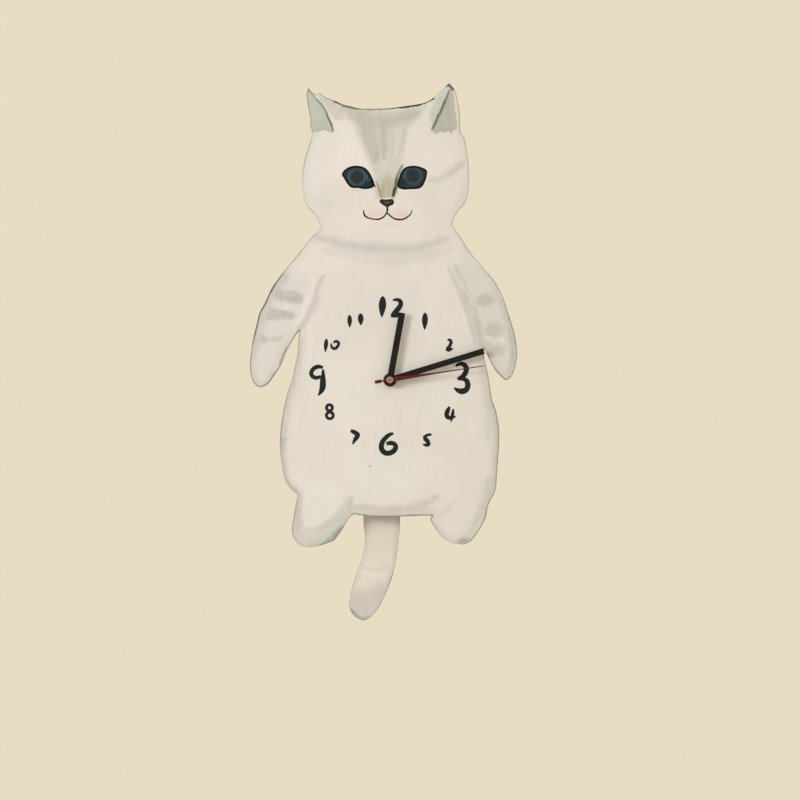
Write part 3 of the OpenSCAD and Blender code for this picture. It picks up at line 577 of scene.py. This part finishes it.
def paint_left_arm(stroke, spot, patch):
    patch("#DBD4CD", [(-110, 112), (-80, 106), (-90, 52), (-106, 12), (-141, -6), (-142, 40)], 12, 0.85)
    stroke("#C6C2B9", 20, [(-104, 104), (-122, 80), (-133, 50), (-138, 22)], 0.8)
    stroke("#CDC7C0", 12, [(-140, 14), (-137, 0), (-128, -6), (-116, 6)], 0.7)
    upper = [(-121, 84), (-112, 90), (-98, 89.5), (-87, 85), (-88, 76), (-99, 76.5), (-109, 79)]
    middle = [(-125, 64), (-119, 72), (-110, 72), (-97, 67.5), (-94, 63), (-98, 60), (-124, 60)]
    for band in (upper, middle):
        patch("#C2BAB2", band, 4, 0.85)
    stroke("#B8B0A7", 6, [(-105, 82), (-96, 82), (-90, 80)], 0.6)
    stroke("#B8B0A7", 6, [(-112, 65), (-104, 65), (-98, 63.5)], 0.6)
    spot("#E2DFD2", (-101.5, 73.5), 8, 3.2, tilt=12)
    spot("#B8B8B0", (-127, 41), 7, 7, 0.85)
    stroke("#CAC1B6", 9, [(-123, 41), (-115, 41), (-108, 42)])
    stroke("#E8E1DA", 8, [(-82, 84), (-87, 68), (-96, 52)])
    inner = [(-91, 50), (-86, 60), (-80, 70), (-76.5, 78), (-74, 93), (-69, 104)]
    stroke("#D0C9C1", 10, [(x + 3, y) for x, y in inner], 0.8)
    stroke("#C6BFB7", 7, inner, 0.7)
    stroke("#6A5642", 1.8, [(-90.5, 50), (-94, 44), (-98.5, 38)], 0.8, 0.5)
    stroke("#6A5642", 2, [(-103.5, 32.5), (-107, 25), (-110.5, 15.5)], soft=0.5)


def paint_right_arm(stroke, spot, patch):
    patch("#DAD3C9", [(62, 118), (90, 112), (126, 52), (124, 6), (98, 12), (86, 44)], 10, 0.75)
    stroke("#CEC9BF", 15, [(66, 112), (76, 88), (86, 62), (92, 34)], 0.8)
    stroke("#C6C3B9", 8, [(59.5, 111), (65, 96.5), (72, 82), (78, 66), (84.5, 36)], 0.7)
    stroke("#C1BDB3", 10, [(73, 90), (81.5, 73), (86.5, 56), (88, 38)], 0.6)
    stroke("#E0DCD2", 4, [(70, 100), (79, 82), (84, 66)], 0.6)
    stroke("#DDDAC2", 7, [(92, 101), (101, 93), (109, 82)], 0.7)
    bands = (((95, 80), 14, 10, 12), ((104, 50), 15, 11, 4), ((106, 29), 14, 9, 12))
    for centre, across, up, tilt in bands:
        spot("#C5BFB3", centre, across, up, 0.85, tilt, 0.7)
    stroke("#BBB5A8", 2.5, [(87, 77), (91, 74.5), (96, 74.5)], 0.7)
    spot("#CAC6BB", (99, 35), 6, 6, 0.5)
    for centre in ((98, 41.5), (111, 40)):
        spot("#EAE5DB", centre, 4, 2.4, 0.8, 15)
    stroke("#C6C7BC", 12, [(106, 90), (117, 65), (123, 41), (123, 20), (117, 4)], 0.8)
    stroke("#ABB6A8", 6, [(119, 52), (123.5, 32), (121, 14)], 0.6)


def paint_body(stroke, spot):
    spot("#E7E0D5", (45, -10), 60, 80, 0.7)
    spot("#E7E0D6", (-30, -20), 60, 80, 0.7)
    spot("#E8E2DA", (0, -95), 85, 40, 0.6)
    stroke("#CCC6BF", 20, [(-90, 40), (-94, 20), (-103, -12), (-108, -50), (-106, -97)])
    stroke("#A9B0A9", 11, [(-107, -60), (-109, -84), (-104, -102), (-94, -113)])
    stroke("#CACABF", 16, [(96, 14), (105, -28), (108, -65), (105, -104), (96, -134)])
    stroke("#BABDB4", 8, [(102, -4), (109, -42), (109, -72), (106, -100)], 0.7)
    stroke("#D2CDC3", 14, [(90, 18), (97, -20), (98, -60)], 0.6)
    stroke("#CEC7BB", 16, [(-36, -127), (0, -130), (30, -126), (46, -116)], 0.8)
    stroke("#C8C1B6", 7, [(-32, -134), (0, -136), (34, -135)], 0.7)
    spot("#E8E1D5", (83, -47), 8, 24, 0.6)


def paint_feet(stroke, spot, patch):
    patch("#D6CFC6", [(-98, -112), (-84, -118), (-40, -118), (-36, -132), (-60, -170), (-98, -168)], 8)
    stroke("#CAC3BC", 11, [(-94, -108), (-93, -130), (-92, -150)])
    stroke("#CEC7BF", 11, [(-39, -118), (-41, -130), (-50, -137), (-61, -144), (-71, -151)])
    instep = [(-87, -112), (-87, -131), (-85.5, -147), (-76, -147.5), (-69, -145), (-61, -139)]
    patch("#E7E0D6", instep + [(-54, -132), (-46, -121), (-46, -108), (-66, -100)], 4)
    stroke("#DAD3C9", 4, [(-70, -125.5), (-64, -127), (-59, -130)], 0.7)
    stroke("#C4CAC0", 11, [(-48, -140), (-56, -152), (-67, -159), (-78, -162)], 0.7)
    stroke("#8B998D", 6, [(-48.5, -145), (-55, -155), (-65, -161)], 0.95)
    stroke("#A9B2A8", 4.5, [(-62, -161), (-72, -164), (-82, -165)], 0.7)
    stroke("#1D1C16", 2, [(-47, -146), (-52.4, -152.8), (-57.4, -160)], 1.2, 0.5)
    stroke("#4E5347", 2, [(-57, -160), (-62.5, -162.4), (-70, -164.8)], 1.1, 0.5)
    stroke("#CFC9BF", 16, [(99, -100), (95, -122), (86, -142)], 0.7)
    stroke("#D2CEC2", 7, [(64, -122), (56, -129), (48, -137)], 0.6)
    spot("#E6DFD4", (68, -132), 13, 16, 0.7, -20, 1)
    stroke("#CDCEC2", 12, [(74, -156), (82, -148), (86, -138)], 0.6)
    spot("#A29F92", (73.5, -160.5), 10.5, 4.6, 0.95, 4)
    # Dark line along the belly's lower edge: partly the board's dark edge, partly painted shadow, which is
    # darker right of the tail.
    belly_edge_and_shadow = [(-38, -133.6), (-31, -134.8), (-18, -136.2), (-3, -136.6), (8, -136.3)]
    stroke("#332A22", 2.2, belly_edge_and_shadow, 1.1, 0.5)
    stroke("#241D17", 2.6, [(4, -136.4), (20, -135.8), (36, -135.2), (43, -135.6)], 1.2, 0.5)
    spot("#6F6B62", (-20.5, -86.5), 1.3, 1, 0.8, soft=0.6)


def cat_colours(at, outline):
    paint = Paint(at, "#E3DBD1")
    shade = value_noise(paint.loose, (46, 60), 5) + 0.5 * value_noise(paint.loose, (19, 26), 6)
    paint.lay(np.clip(shade, 0, 1), "#DBD3CA", 0.35)
    paint.lay(np.clip(-shade, 0, 1), "#EAE3DA", 0.35)
    stroke, spot, patch = paint.stroke, paint.spot, paint.patch
    paint_body(stroke, spot)
    paint_left_arm(stroke, spot, patch)
    paint_right_arm(stroke, spot, patch)
    paint_feet(stroke, spot, patch)
    paint_face(stroke, spot)
    paint_forehead(stroke, patch)
    paint_ears(stroke, spot, patch)
    gap = from_loop(at, outline)
    below_chin = soft_step((140 - at[:, 1]) / 60)
    paint.edge(gap, 11, 11, 0.45 + 0.55 * below_chin, "#C9C3BB", 0.5)
    # A thin dark rim along the whole outline, patchy: partly the board's dark edge, partly painted shade
    # along it.
    patchy = 0.55 + 0.45 * value_noise(at, (28, 28), 77)
    paint.edge(gap, 1.1, 0.8, patchy, "#6E6555", 0.95)
    left_arm = soft_step((-104 - at[:, 0]) / 5) * soft_step((at[:, 1] - 34) / 14)
    paint.edge(gap, 2.0, 1.2, left_arm, "#3F3528", 0.9)
    paint_crown_line(stroke)
    return paint.colour


def tail_colours(at, outline):
    paint = Paint(at, "#E3DACE")
    paint.spot("#EAE0D4", (-20, -195), 18, 16, 0.8)
    paint.stroke("#D6CFC5", 7, [(-24, -136), (-24, -163), (-29, -188), (-36, -210)], 0.7)
    paint.stroke("#CFC8BE", 9, [(8, -140), (6, -168), (0, -196), (-8, -218)], 0.7)
    paint.stroke("#D4CCC1", 9, [(-28, -189), (-15, -192), (-2, -187)], 0.6)
    paint.patch("#CFC8BF", [(-50, -212), (-26, -212), (-12, -206), (10, -204), (0, -260), (-50, -260)], 14)
    paint.stroke("#C3C9BF", 8, [(-6, -224), (-16, -236), (-29, -239)], 0.8, 0.8)
    paint.stroke("#AEB7AC", 6, [(-39, -231), (-30, -240), (-19, -238)], 0.85, 0.8)
    paint.stroke("#8C988C", 2.6, [(-40, -230), (-34, -238.5), (-27, -241)], soft=0.8)
    gap = from_loop(at, outline)
    # A thin dark rim along the tail's outline, patchy: partly the board's dark edge, partly painted shade
    # along it.
    patchy = 0.5 + 0.4 * value_noise(at, (20, 20), 78)
    paint.edge(gap, 1.0, 0.8, patchy, "#6E6555", 0.9)
    return paint.colour


# ---- Boards ----
def cap_loops(node, level):
    """The closed loops round a node's flat face at that y, longest first, in dial millimetres."""
    mesh = NODES[node].data
    key = {}
    places = []
    index = []
    for vertex in mesh.vertices:
        name = tuple(round(c * 1e6) for c in vertex.co)
        if name not in key:
            key[name] = len(places)
            places.append(vertex.co.copy())
        index.append(key[name])
    edges = set()
    for polygon in mesh.polygons:
        if all(abs(mesh.vertices[v].co.y - level) < 1e-6 for v in polygon.vertices):
            corners = [index[v] for v in polygon.vertices]
            edges |= set(zip(corners, corners[1:] + corners[:1]))
    follow = {a: b for a, b in edges if (b, a) not in edges}
    loops = []
    while follow:
        chain = [next(iter(sorted(follow)))]
        while chain[-1] in follow:
            chain.append(follow.pop(chain[-1]))
        flat = [((places[i].x - ARBOR.x) / MM, (places[i].z - ARBOR.z) / MM) for i in chain[:-1]]
        loops.append(np.array(flat))
    return sorted(loops, key=len, reverse=True)


def rounded(loop, corner_deg=24, steps=3):
    """A loop of straight pieces made smooth between its corners."""
    n = len(loop)
    edge = np.roll(loop, -1, axis=0) - loop
    heading = np.arctan2(edge[:, 1], edge[:, 0])
    turn = np.abs((heading - np.roll(heading, 1) + math.pi) % (2 * math.pi) - math.pi)
    corner = turn > math.radians(corner_deg)
    made = []
    for i in range(n):
        j = (i + 1) % n
        before = loop[i] if corner[i] else loop[i - 1]
        after = loop[j] if corner[j] else loop[(j + 1) % n]
        made.append(curve([before, loop[i], loop[j], after], steps)[steps : 2 * steps])
    return np.clip(np.concatenate(made), loop.min(0), loop.max(0))


EDGE_ROUND = [(0.55, 0.0), (0.16, 0.12), (0.0, 0.5)]  # inset and depth of the painted edge
BACK_ROUND = 0.3
HEAD_FROM = 132  # height above which the small marks of the head need a finer mesh
BELOW_ALL = -400


def painted_board(name, node, colours, zones, holes=()):
    """A board cut to a CAD node's outline, with a rounded painted edge and a bare back.

    zones are the grid spacing above each height of the dial plane, highest first.
    """
    low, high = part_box(node)
    thick = (high.y - low.y) / MM
    outline = rounded(anticlockwise(cap_loops(node, low.y)[0]))
    rings = [inset(outline, inwards) for inwards, _ in EDGE_ROUND]
    grid = []
    top = outline[:, 1].max()
    for floor, spacing in zones:
        corner = (outline[:, 0].min(), max(floor, outline[:, 1].min()))
        points = hexagonal(corner, (outline[:, 0].max(), top), spacing)
        points = points[inside(points, rings[0])]
        points = points[from_loop(points, rings[0]) > 0.5 * spacing]
        if holes:
            points = points[np.hypot(*points.T) > HOLE_R + 0.5 * spacing]
        grid.append(points)
        top = floor
    loops = [rings[0], *holes]
    board = Solid(name, face=low.y)
    paint, edge, back = 0, 1, 2  # material slots
    board.cap(loops, np.concatenate(grid), 0, paint)
    outs = [-depth for _, depth in EDGE_ROUND]
    for k in range(1, len(rings)):
        board.wall(rings[k - 1], outs[k - 1], rings[k], outs[k], paint)
    back_ring = inset(outline, BACK_ROUND)
    board.wall(outline, outs[-1], outline, -thick + BACK_ROUND, edge)
    board.wall(outline, -thick + BACK_ROUND, back_ring, -thick, edge)
    loops[0] = back_ring
    board.cap(loops, NO_POINTS, -thick, back, towards_viewer=False)
    for hole in holes:
        board.wall(hole[::-1], 0, hole[::-1], -thick, edge)
    materials = [board_paint(name + "_paint"), board_edge(name + "_edge"), bare_board(name + "_back")]
    piece = board.build(materials, lambda at: colours(at, outline))
    smooth(piece, 50)
    return piece


def board_paint(name):
    """Matt acrylic put on with a broad brush: the painted colour, streaks and thin relief."""
    look = Shader(name, roughness=0.55, specular=0.25)
    colour = look.node("ShaderNodeAttribute", attribute_name="paint").outputs["Color"]
    upright = look.noise(380, detail=4, stretch=(1, 1, 0.12), turn=(0, math.radians(14), 0))
    slanted = look.noise(380, detail=4, stretch=(1, 1, 0.14), turn=(0, math.radians(66), 0))
    streaks = look.math("ADD", upright, slanted)
    wash = look.noise(36, detail=5)
    value = look.ramp(streaks, 0.985, 1.012, 0.8, 1.2)
    value = look.math("MULTIPLY", value, look.ramp(wash, 0.982, 1.014))
    look.set("Base Color", look.mix(1.0, colour, value, "MULTIPLY"))
    look.set("Roughness", look.ramp(streaks, 0.46, 0.66, 0.8, 1.2))
    look.bump(streaks, 0.06)
    look.bump(look.noise(1400, detail=2), 0.012)
    return look.material


def board_edge(name):
    """The sawn edge, burnt brown by the cutter, with fine marks across the thickness."""
    look = Shader(name, roughness=0.75, specular=0.2)
    marks = look.noise(1500, detail=2, stretch=(1, 0.06, 1))
    burnt = look.noise(90)
    colour = look.mix(look.ramp(marks, 0, 1), (0.028, 0.017, 0.010), (0.085, 0.052, 0.028))
    colour = look.mix(look.ramp(burnt, 0, 0.6), colour, (0.12, 0.078, 0.045))
    look.set("Base Color", colour)
    look.bump(marks, 0.08)
    return look.material


def bare_board(name):
    """Bare fibreboard: pale brown with short fibres and darker specks."""
    look = Shader(name, roughness=0.85, specular=0.2)
    fibres = look.noise(1400, detail=4, stretch=(1, 1, 0.35))
    clouds = look.noise(28)
    specks = look.noise(2400, detail=1)
    colour = look.mix(look.ramp(fibres, 0, 1), (0.27, 0.165, 0.085), (0.43, 0.28, 0.155))
    colour = look.mix(look.ramp(clouds, 0, 0.5), colour, (0.36, 0.235, 0.135))
    colour = look.mix(look.ramp(specks, 0, 0.55, 0.62, 0.7), colour, (0.12, 0.07, 0.035))
    look.set("Base Color", colour)
    look.bump(fibres, 0.06)
    return look.material


def circle(radius, count=48):
    angle = np.arange(count) * 2 * math.pi / count
    return np.stack([np.cos(angle), np.sin(angle)], 1) * radius


def make_boards():
    zones = [(HEAD_FROM, 0.8), (BELOW_ALL, 1.25)]
    cat = painted_board("cat_painting", "cat_board", cat_colours, zones, [circle(HOLE_R)])
    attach(cat, ROOT)
    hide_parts("cat_board")
    tail = painted_board("tail_painting", "tail_board", tail_colours, [(BELOW_ALL, 1.0)])
    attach(tail, "tail")
    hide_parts("tail_board")


# ---- Ink of the face: thin raised paint with its own colours ----
INK_HEIGHT = 0.08
INK_ROUND = 0.12
INK_LIP = 0.02  # where its rounded edge meets its side
INK_ROOT = -0.1  # its underside, inside the board


def ink_paint(name, roughness):
    look = Shader(name, roughness=roughness, specular=0.12)
    colour = look.node("ShaderNodeAttribute", attribute_name="paint").outputs["Color"]
    strokes = look.noise(1100, detail=3, stretch=(1, 1, 0.35))
    look.set("Base Color", look.mix(1.0, colour, look.ramp(strokes, 0.82, 1.12), "MULTIPLY"))
    look.set("Roughness", look.ramp(strokes, roughness * 0.8, roughness * 1.3))
    look.bump(strokes, 0.05)
    return look.material


def ink_piece(name, outline, colours, material, spacing):
    """A raised patch of paint on the face, a little rounded at its edge."""
    outline = anticlockwise(np.asarray(outline, float))
    top = inset(outline, INK_ROUND)
    low, high = outline.min(0), outline.max(0)
    grid = hexagonal(low, high, spacing)
    grid = grid[inside(grid, top)]
    grid = grid[from_loop(grid, top) > 0.45 * spacing]
    piece = Solid(name)
    piece.cap([top], grid, INK_HEIGHT)
    piece.wall(top, INK_HEIGHT, outline, INK_LIP)
    piece.wall(outline, INK_LIP, outline, INK_ROOT)
    piece.cap([outline], NO_POINTS, INK_ROOT, towards_viewer=False)
    made = piece.build([material], colours)
    smooth(made, 60)
    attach(made, ROOT)


def one_colour(code):
    return lambda at: np.tile(pigment(code), (len(at), 1))


def eye_colours(iris, corner, outline, glint, ring_strength):
    """Dark outline, teal iris with a pale ring, a blurred pupil and a blue inner corner."""

    def colours(at):
        paint = Paint(at, "#2B393F")
        away = paint.crisp - iris
        from_iris = np.hypot(*away.T)
        sideways = np.abs(away[:, 0]) / np.maximum(from_iris, 0.1)
        paint.spot("#212C39", corner, 8, 7, 0.95)
        paint.lay(soft_step((9.5 - from_iris) / 2.5), "#2F4146", 0.9)
        ring = soft_step(1 - np.abs(from_iris - 8.2) / 1.3)
        paint.lay(ring * (0.3 + 0.7 * sideways), "#4B656B", ring_strength)
        paint.lay(soft_step((6.9 - from_iris) / 1.8), "#2A3234", 0.95)
        paint.spot("#37342F", np.array(iris) - (0.5, 1), 3.4, 3, 0.6)
        x, y = glint
        paint.stroke("#5A7A86", 1.6, [(x - 1, y + 4), (x, y), (x, y - 3)], ring_strength)
        paint.edge(from_loop(at, outline), 2.5, 1, 1, "#080C0E", 1.2)
        return paint.colour

    return colours


def make_eyes():
    look = ink_paint("eye_ink", 0.4)
    left = curve(
        [(-47.5, 206), (-43.5, 211), (-37, 213.5), (-31, 213.5), (-26, 212), (-22, 208.5)]
        + [(-18.5, 202.5), (-16.3, 196.5), (-17.5, 193), (-24.5, 191.5), (-31.5, 192.5)]
        + [(-38.5, 193), (-42.5, 197), (-45.5, 202)],
        closed=True,
    )
    right = curve(
        [(7.8, 194.5), (9.5, 202), (12, 208.5), (16.5, 212.5), (23.5, 213.7), (30, 212.6)]
        + [(36, 209.6), (36.2, 204.5), (34.6, 199), (31.8, 194), (28, 191.8), (20, 191.3), (12, 191.3)],
        closed=True,
    )
    left, right = (inset(anticlockwise(loop), -0.6) for loop in (left, right))  # a little larger
    ink_piece("left_eye", left, eye_colours((-33, 203), (-21.5, 197), left, (-22.4, 201), 0.9), look, 0.35)
    ink_piece("right_eye", right, eye_colours((23, 204), (12.5, 196), right, (14.6, 205), 0.55), look, 0.35)
    corner = brush([(-18.5, 199, 1.6), (-16, 195.5, 1.4), (-14.2, 192.2, 0.5)])
    ink_piece("left_eye_corner", corner, one_colour("#0A0F11"), look, 0.5)


def make_nose_and_mouth():
    look = ink_paint("mouth_ink", 0.5)
    nose = curve(
        [(-10, 179), (-8, 180.5), (-5, 180), (-1, 180.3), (2, 180.6), (3.5, 178.5), (3, 176)]
        + [(0, 174.6), (-2.6, 173.2), (-5.5, 174.6), (-8.6, 176.6)],
        closed=True,
    )
    nose = inset(anticlockwise(nose), -0.4)

    def nose_colours(at):
        paint = Paint(at, "#412C2B")
        paint.spot("#644B50", (-3, 177.6), 5, 2.2)
        paint.edge(from_loop(at, nose), 1.6, 1, 1, "#100808", 1.2)
        return paint.colour

    ink_piece("nose", nose, nose_colours, look, 0.3)
    strokes = {
        "mouth_stem": [(-3, 174, 1.5), (-2.6, 170.5, 1.9), (-3.2, 167, 1.4)],
        "mouth_left": [(-3.2, 167.3, 1.5), (-6.5, 163, 1.5), (-11, 160.8, 1.6), (-15.5, 160.8, 1.3)]
        + [(-21.5, 162, 1.4), (-25.6, 165, 1.8), (-26.4, 170, 0.9)],
        "mouth_right": [(-3.2, 167.3, 1.5), (3, 162, 1.4), (7.5, 160.6, 1.7), (12.5, 160.6, 1.5)]
        + [(17.5, 163, 1.4), (21, 166.6, 1.2), (22, 170.5, 0.7)],
    }
    for name, points in strokes.items():
        ink_piece(name, brush(points, 4), one_colour("#241309"), look, 0.8)


# ---- Materials of the CAD nodes ----
def lacquer(name, code, roughness):
    """Sprayed lacquer on sheet metal, with a faint orange peel."""
    look = Shader(name, roughness=roughness, specular=0.22)
    drift = look.noise(120)
    colour = tuple(linear(code))
    look.set("Base Color", look.mix(look.ramp(drift, 0, 1), scaled(colour, 0.8), scaled(colour, 1.2)))
    look.set("Roughness", look.ramp(drift, roughness * 0.85, roughness * 1.25))
    look.bump(look.noise(700, detail=1), 0.03)
    return look.material


def turned_metal(name, colour, roughness=0.28, hollow=None):
    """Metal turned in a lathe: fine rings round the arbor and a light tarnish.

    hollow is the radius in millimetres of a dark disc of painted shade in its middle, standing for the
    shade inside the hollow tube.
    """
    look = Shader(name, roughness=roughness, metallic=1.0)
    rings = look.node("ShaderNodeTexWave", wave_type="RINGS", rings_direction="Y")
    look.feed(rings, Vector=look.coordinates(centre=ARBOR), Scale=260, Distortion=0.4)
    tarnish = look.noise(420, detail=4)
    shine = look.mix(look.ramp(tarnish, 0, 0.7, 0.45, 0.75), tuple(colour), scaled(colour, 0.55))
    if hollow:
        # Painted shade: out to the hollow's radius the middle turns near black, for the shade inside the
        # tube.
        away = look.node("ShaderNodeVectorMath", operation="LENGTH")
        look.feed(away, Vector=look.coordinates(stretch=(1, 0, 1), centre=ARBOR))
        depth = look.ramp(away.outputs["Value"], 1, 0, (hollow - 0.2) * MM, (hollow + 0.2) * MM)
        shine = look.mix(depth, shine, (0.03, 0.018, 0.012))
    look.set("Base Color", shine)
    look.set("Roughness", look.ramp(tarnish, roughness, roughness * 1.7))
    look.bump(rings.outputs["Fac"], 0.012)
    return look.material


def brushed_metal(name, colour, roughness, stretch=(1, 1, 0.05)):
    """Rolled sheet or wire: scratches along one way and a zinc or nickel bloom."""
    look = Shader(name, roughness=roughness, metallic=1.0)
    scratches = look.noise(2600, detail=2, stretch=stretch)
    bloom = look.noise(160, detail=4)
    look.set("Base Color", look.mix(look.ramp(bloom, 0, 1), scaled(colour, 0.8), scaled(colour, 1.1)))
    look.set("Roughness", look.ramp(scratches, roughness * 0.75, roughness * 1.4))
    look.bump(scratches, 0.01)
    return look.material


def moulded(name, colour, roughness, texture=0.02):
    """Moulded plastic: an even colour with a fine spark-eroded texture."""
    return plain(name, colour, roughness, specular=0.4, mottle=(80, 0.06), grain=(3200, texture))


def wound_wire(name, axis):
    """Enamelled copper wire in close turns along an axis."""
    look = Shader(name, roughness=0.3, metallic=0.85)
    turns = look.node("ShaderNodeTexWave", wave_type="BANDS", bands_direction=axis, wave_profile="SIN")
    look.feed(turns, Vector=look.coordinates(), Scale=1300, Distortion=0.3)
    tone = turns.outputs["Fac"]
    look.set("Base Color", look.mix(tone, (0.22, 0.06, 0.018), (0.62, 0.24, 0.08)))
    look.bump(tone, 0.06)
    return look.material


def numeral_ink():
    look = Shader("numeral_ink", roughness=0.55, specular=0.12)
    strokes = look.noise(700, detail=4, stretch=(1, 1, 0.4))
    wash = look.noise(70)
    dark, pale = tuple(linear("#12191D")), tuple(linear("#242E35"))
    colour = look.mix(look.ramp(strokes, 0, 1), dark, pale)
    look.set("Base Color", look.mix(look.ramp(wash, 0, 0.5), colour, tuple(linear("#182127"))))
    look.set("Roughness", look.ramp(strokes, 0.4, 0.65))
    look.bump(strokes, 0.05)
    return look.material


def circuit_mask(name):
    """Green solder mask over tracks."""
    look = Shader(name, roughness=0.3, specular=0.5)
    tracks = look.node("ShaderNodeTexBrick", offset=0.5)
    look.feed(tracks, Vector=look.coordinates(turn=(math.pi / 2, 0, 0)), Scale=420, Mortar_Size=0.03)
    look.feed(tracks, Color1=(0.012, 0.10, 0.04, 1), Color2=(0.012, 0.085, 0.035, 1))
    look.feed(tracks, Mortar=(0.03, 0.19, 0.08, 1))
    look.set("Base Color", tracks.outputs["Color"])
    look.bump(tracks.outputs["Fac"], 0.03)
    return look.material


def give(material, *names):
    for name in names:
        slots = NODES[name].data.materials
        if not slots:
            slots.append(material)
        for index in range(len(slots)):
            slots[index] = material


def softened(name, width):
    """Breaks a node's sharp edges by a small bevel, as its real edges are."""
    node = NODES[name]
    weld = node.modifiers.new("weld", "WELD")
    weld.merge_threshold = WELD * MM
    bevel = node.modifiers.new("broken_edges", "BEVEL")
    bevel.limit_method = "ANGLE"
    bevel.angle_limit = math.radians(30)
    bevel.width = width * MM
    bevel.segments = 2
    bevel.use_clamp_overlap = True
    node.modifiers.new("normals", "WEIGHTED_NORMAL").keep_sharp = True


EDGE_BREAK = {  # the bevel's width in millimetres, and the nodes that have it
    0.06: ("second_hand", "positive_contact", "negative_contact"),
    0.1: ("dial_washer", "tail_strip"),
    0.12: ("hour_hand", "minute_hand", "minute_nut", "case_screws"),
    0.15: ("second_hand_cap", "center_bushing", "hanger_bracket", "setting_knob", "tail_screws"),
    0.2: ("hanger_screws", "pendulum_arm", "rubber_gasket"),
    0.25: ("dial_nut",),
    0.4: ("case_back",),
    0.7: ("case_front",),
}


def dress_nodes():
    give(lacquer("black_lacquer", "#0E1112", 0.36), "hour_hand", "minute_hand")
    give(lacquer("red_lacquer", "#5E1520", 0.3), "second_hand")
    brass = (0.70, 0.52, 0.25)
    # The cap's hollow middle gets a disc of painted shade.
    give(turned_metal("cap_brass", (0.50, 0.37, 0.27), 0.34, hollow=1.5), "second_hand_cap")
    give(turned_metal("turned_brass", brass), "minute_nut", "center_bushing")
    give(turned_metal("aged_brass", scaled(brass, 0.2), 0.3), "dial_washer", "dial_nut")
    give(numeral_ink(), "painted_numerals")
    give(plain("gasket_rubber", (0.016, 0.016, 0.017), 0.8, grain=(900, 0.05)), "rubber_gasket")
    give(moulded("case_plastic", (0.014, 0.014, 0.016), 0.5), "case_front", "case_back")
    zinc, nickel = (0.60, 0.61, 0.63), (0.66, 0.65, 0.62)
    give(brushed_metal("zinc_screws", zinc, 0.3), "case_screws", "hanger_screws", "tail_screws")
    give(brushed_metal("zinc_sheet", zinc, 0.38, (0.05, 1, 1)), "hanger_bracket", "tail_strip")
    strip = brushed_metal("nickel_strip", nickel, 0.26)
    give(strip, "battery_spring", "negative_contact", "positive_contact")
    give(brushed_metal("steel_pin", (0.62, 0.62, 0.63), 0.2), "pendulum_pivot")
    give(brushed_metal("crystal_can", (0.72, 0.72, 0.72), 0.2), "quartz_crystal")
    give(brushed_metal("stator_iron", (0.42, 0.42, 0.43), 0.45), "coil_core", "stator")
    magnet = plain("sintered_magnet", (0.05, 0.05, 0.055), 0.4, 0.6, mottle=(500, 0.3), grain=(2500, 0.02))
    give(magnet, "rotor_magnet", "pendulum_magnet")
    give(circuit_mask("circuit_mask"), "circuit_board")
    give(plain("black_resin", (0.010, 0.010, 0.010), 0.22, mottle=(200, 0.2)), "ic_chip")
    give(wound_wire("coil_wire", "X"), "coil_winding")
    give(wound_wire("drive_wire", "Y"), "drive_coil")
    give(moulded("bobbin_plastic", (0.70, 0.66, 0.55), 0.5), "coil_bobbin", "drive_bobbin", "train_bridge")
    white = moulded("white_acetal", (0.80, 0.80, 0.77), 0.34, 0.01)
    give(white, "seconds_wheel", "center_wheel", "hour_wheel", "setting_knob")
    ivory = moulded("ivory_acetal", (0.74, 0.69, 0.55), 0.36, 0.01)
    give(ivory, "rotor_pinion", "step_wheel", "third_wheel", "cannon_pinion", "motion_wheel")
    give(ivory, "pendulum_arm")
    for width, names in EDGE_BREAK.items():
        for name in names:
            softened(name, width)


# ---- Battery: turned from a profile, in place of the plain CAD cell ----
def make_battery():
    low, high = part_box("aa_battery")
    radius = (high.z - low.z) / 2 / MM
    length = (high.x - low.x) / MM
    body = length - 1  # without the button
    sleeve, band, can = 0, 1, 2  # material slots
    # each point is the way along the cell, the radius, and the slot of the ring that starts there
    profile = [(0, 0, can), (0, 4.9, can), (0.3, 5.2, can), (0.35, 6.0, sleeve), (0.05, 6.3, sleeve)]
    profile += [(0.1, radius - 0.35, sleeve), (0.45, radius, sleeve), (body - 11, radius, band)]
    profile += [(body - 10.2, radius, sleeve), (body - 0.45, radius, sleeve)]
    profile += [(body - 0.1, radius - 0.35, sleeve), (body - 0.05, 6.2, sleeve)]
    profile += [(body - 0.35, 5.9, can), (body - 0.4, 3.6, can), (body - 0.1, 3.1, can)]
    profile += [(body + 0.6, 2.75, can), (length - 0.1, 2.6, can), (length, 2.2, can), (length, 0, can)]
    sides = 72
    points, faces, slots = [], [], []
    for along, r, _ in profile:
        centre = Vector((low.x + along * MM, (low.y + high.y) / 2, (low.z + high.z) / 2))
        for k in range(sides):
            angle = 2 * math.pi * k / sides
            points.append(centre + Vector((0, math.cos(angle), math.sin(angle))) * r * MM)
    for i in range(len(profile) - 1):
        for k in range(sides):
            j = (k + 1) % sides
            faces.append((i * sides + k, i * sides + j, (i + 1) * sides + j, (i + 1) * sides + k))
            slots.append(profile[i][2])
    mesh = bpy.data.meshes.new("battery_cell")
    mesh.from_pydata(points, [], faces)
    mesh.polygons.foreach_set("material_index", slots)
    mesh.materials.append(lacquer("cell_sleeve", "#2B3A49", 0.2))
    mesh.materials.append(lacquer("cell_band", "#C9CDD0", 0.22))
    mesh.materials.append(brushed_metal("cell_can", (0.62, 0.62, 0.60), 0.28))
    cell = new_object("battery_cell", mesh)
    weld = cell.modifiers.new("weld", "WELD")
    weld.merge_threshold = WELD * MM
    smooth(cell, 40)
    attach(cell, ROOT)
    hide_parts("aa_battery")


make_camera()
make_world((0.80, 0.72, 0.54), strength=1.0)
make_area_light("window", (-1.55, -1.35, 0.45), size=0.6, power=23, colour=(1.0, 0.98, 0.95))
make_floor()
make_boards()
make_eyes()
make_nose_and_mouth()
dress_nodes()
make_battery()
bpy.context.scene.view_settings.view_transform = "Standard"
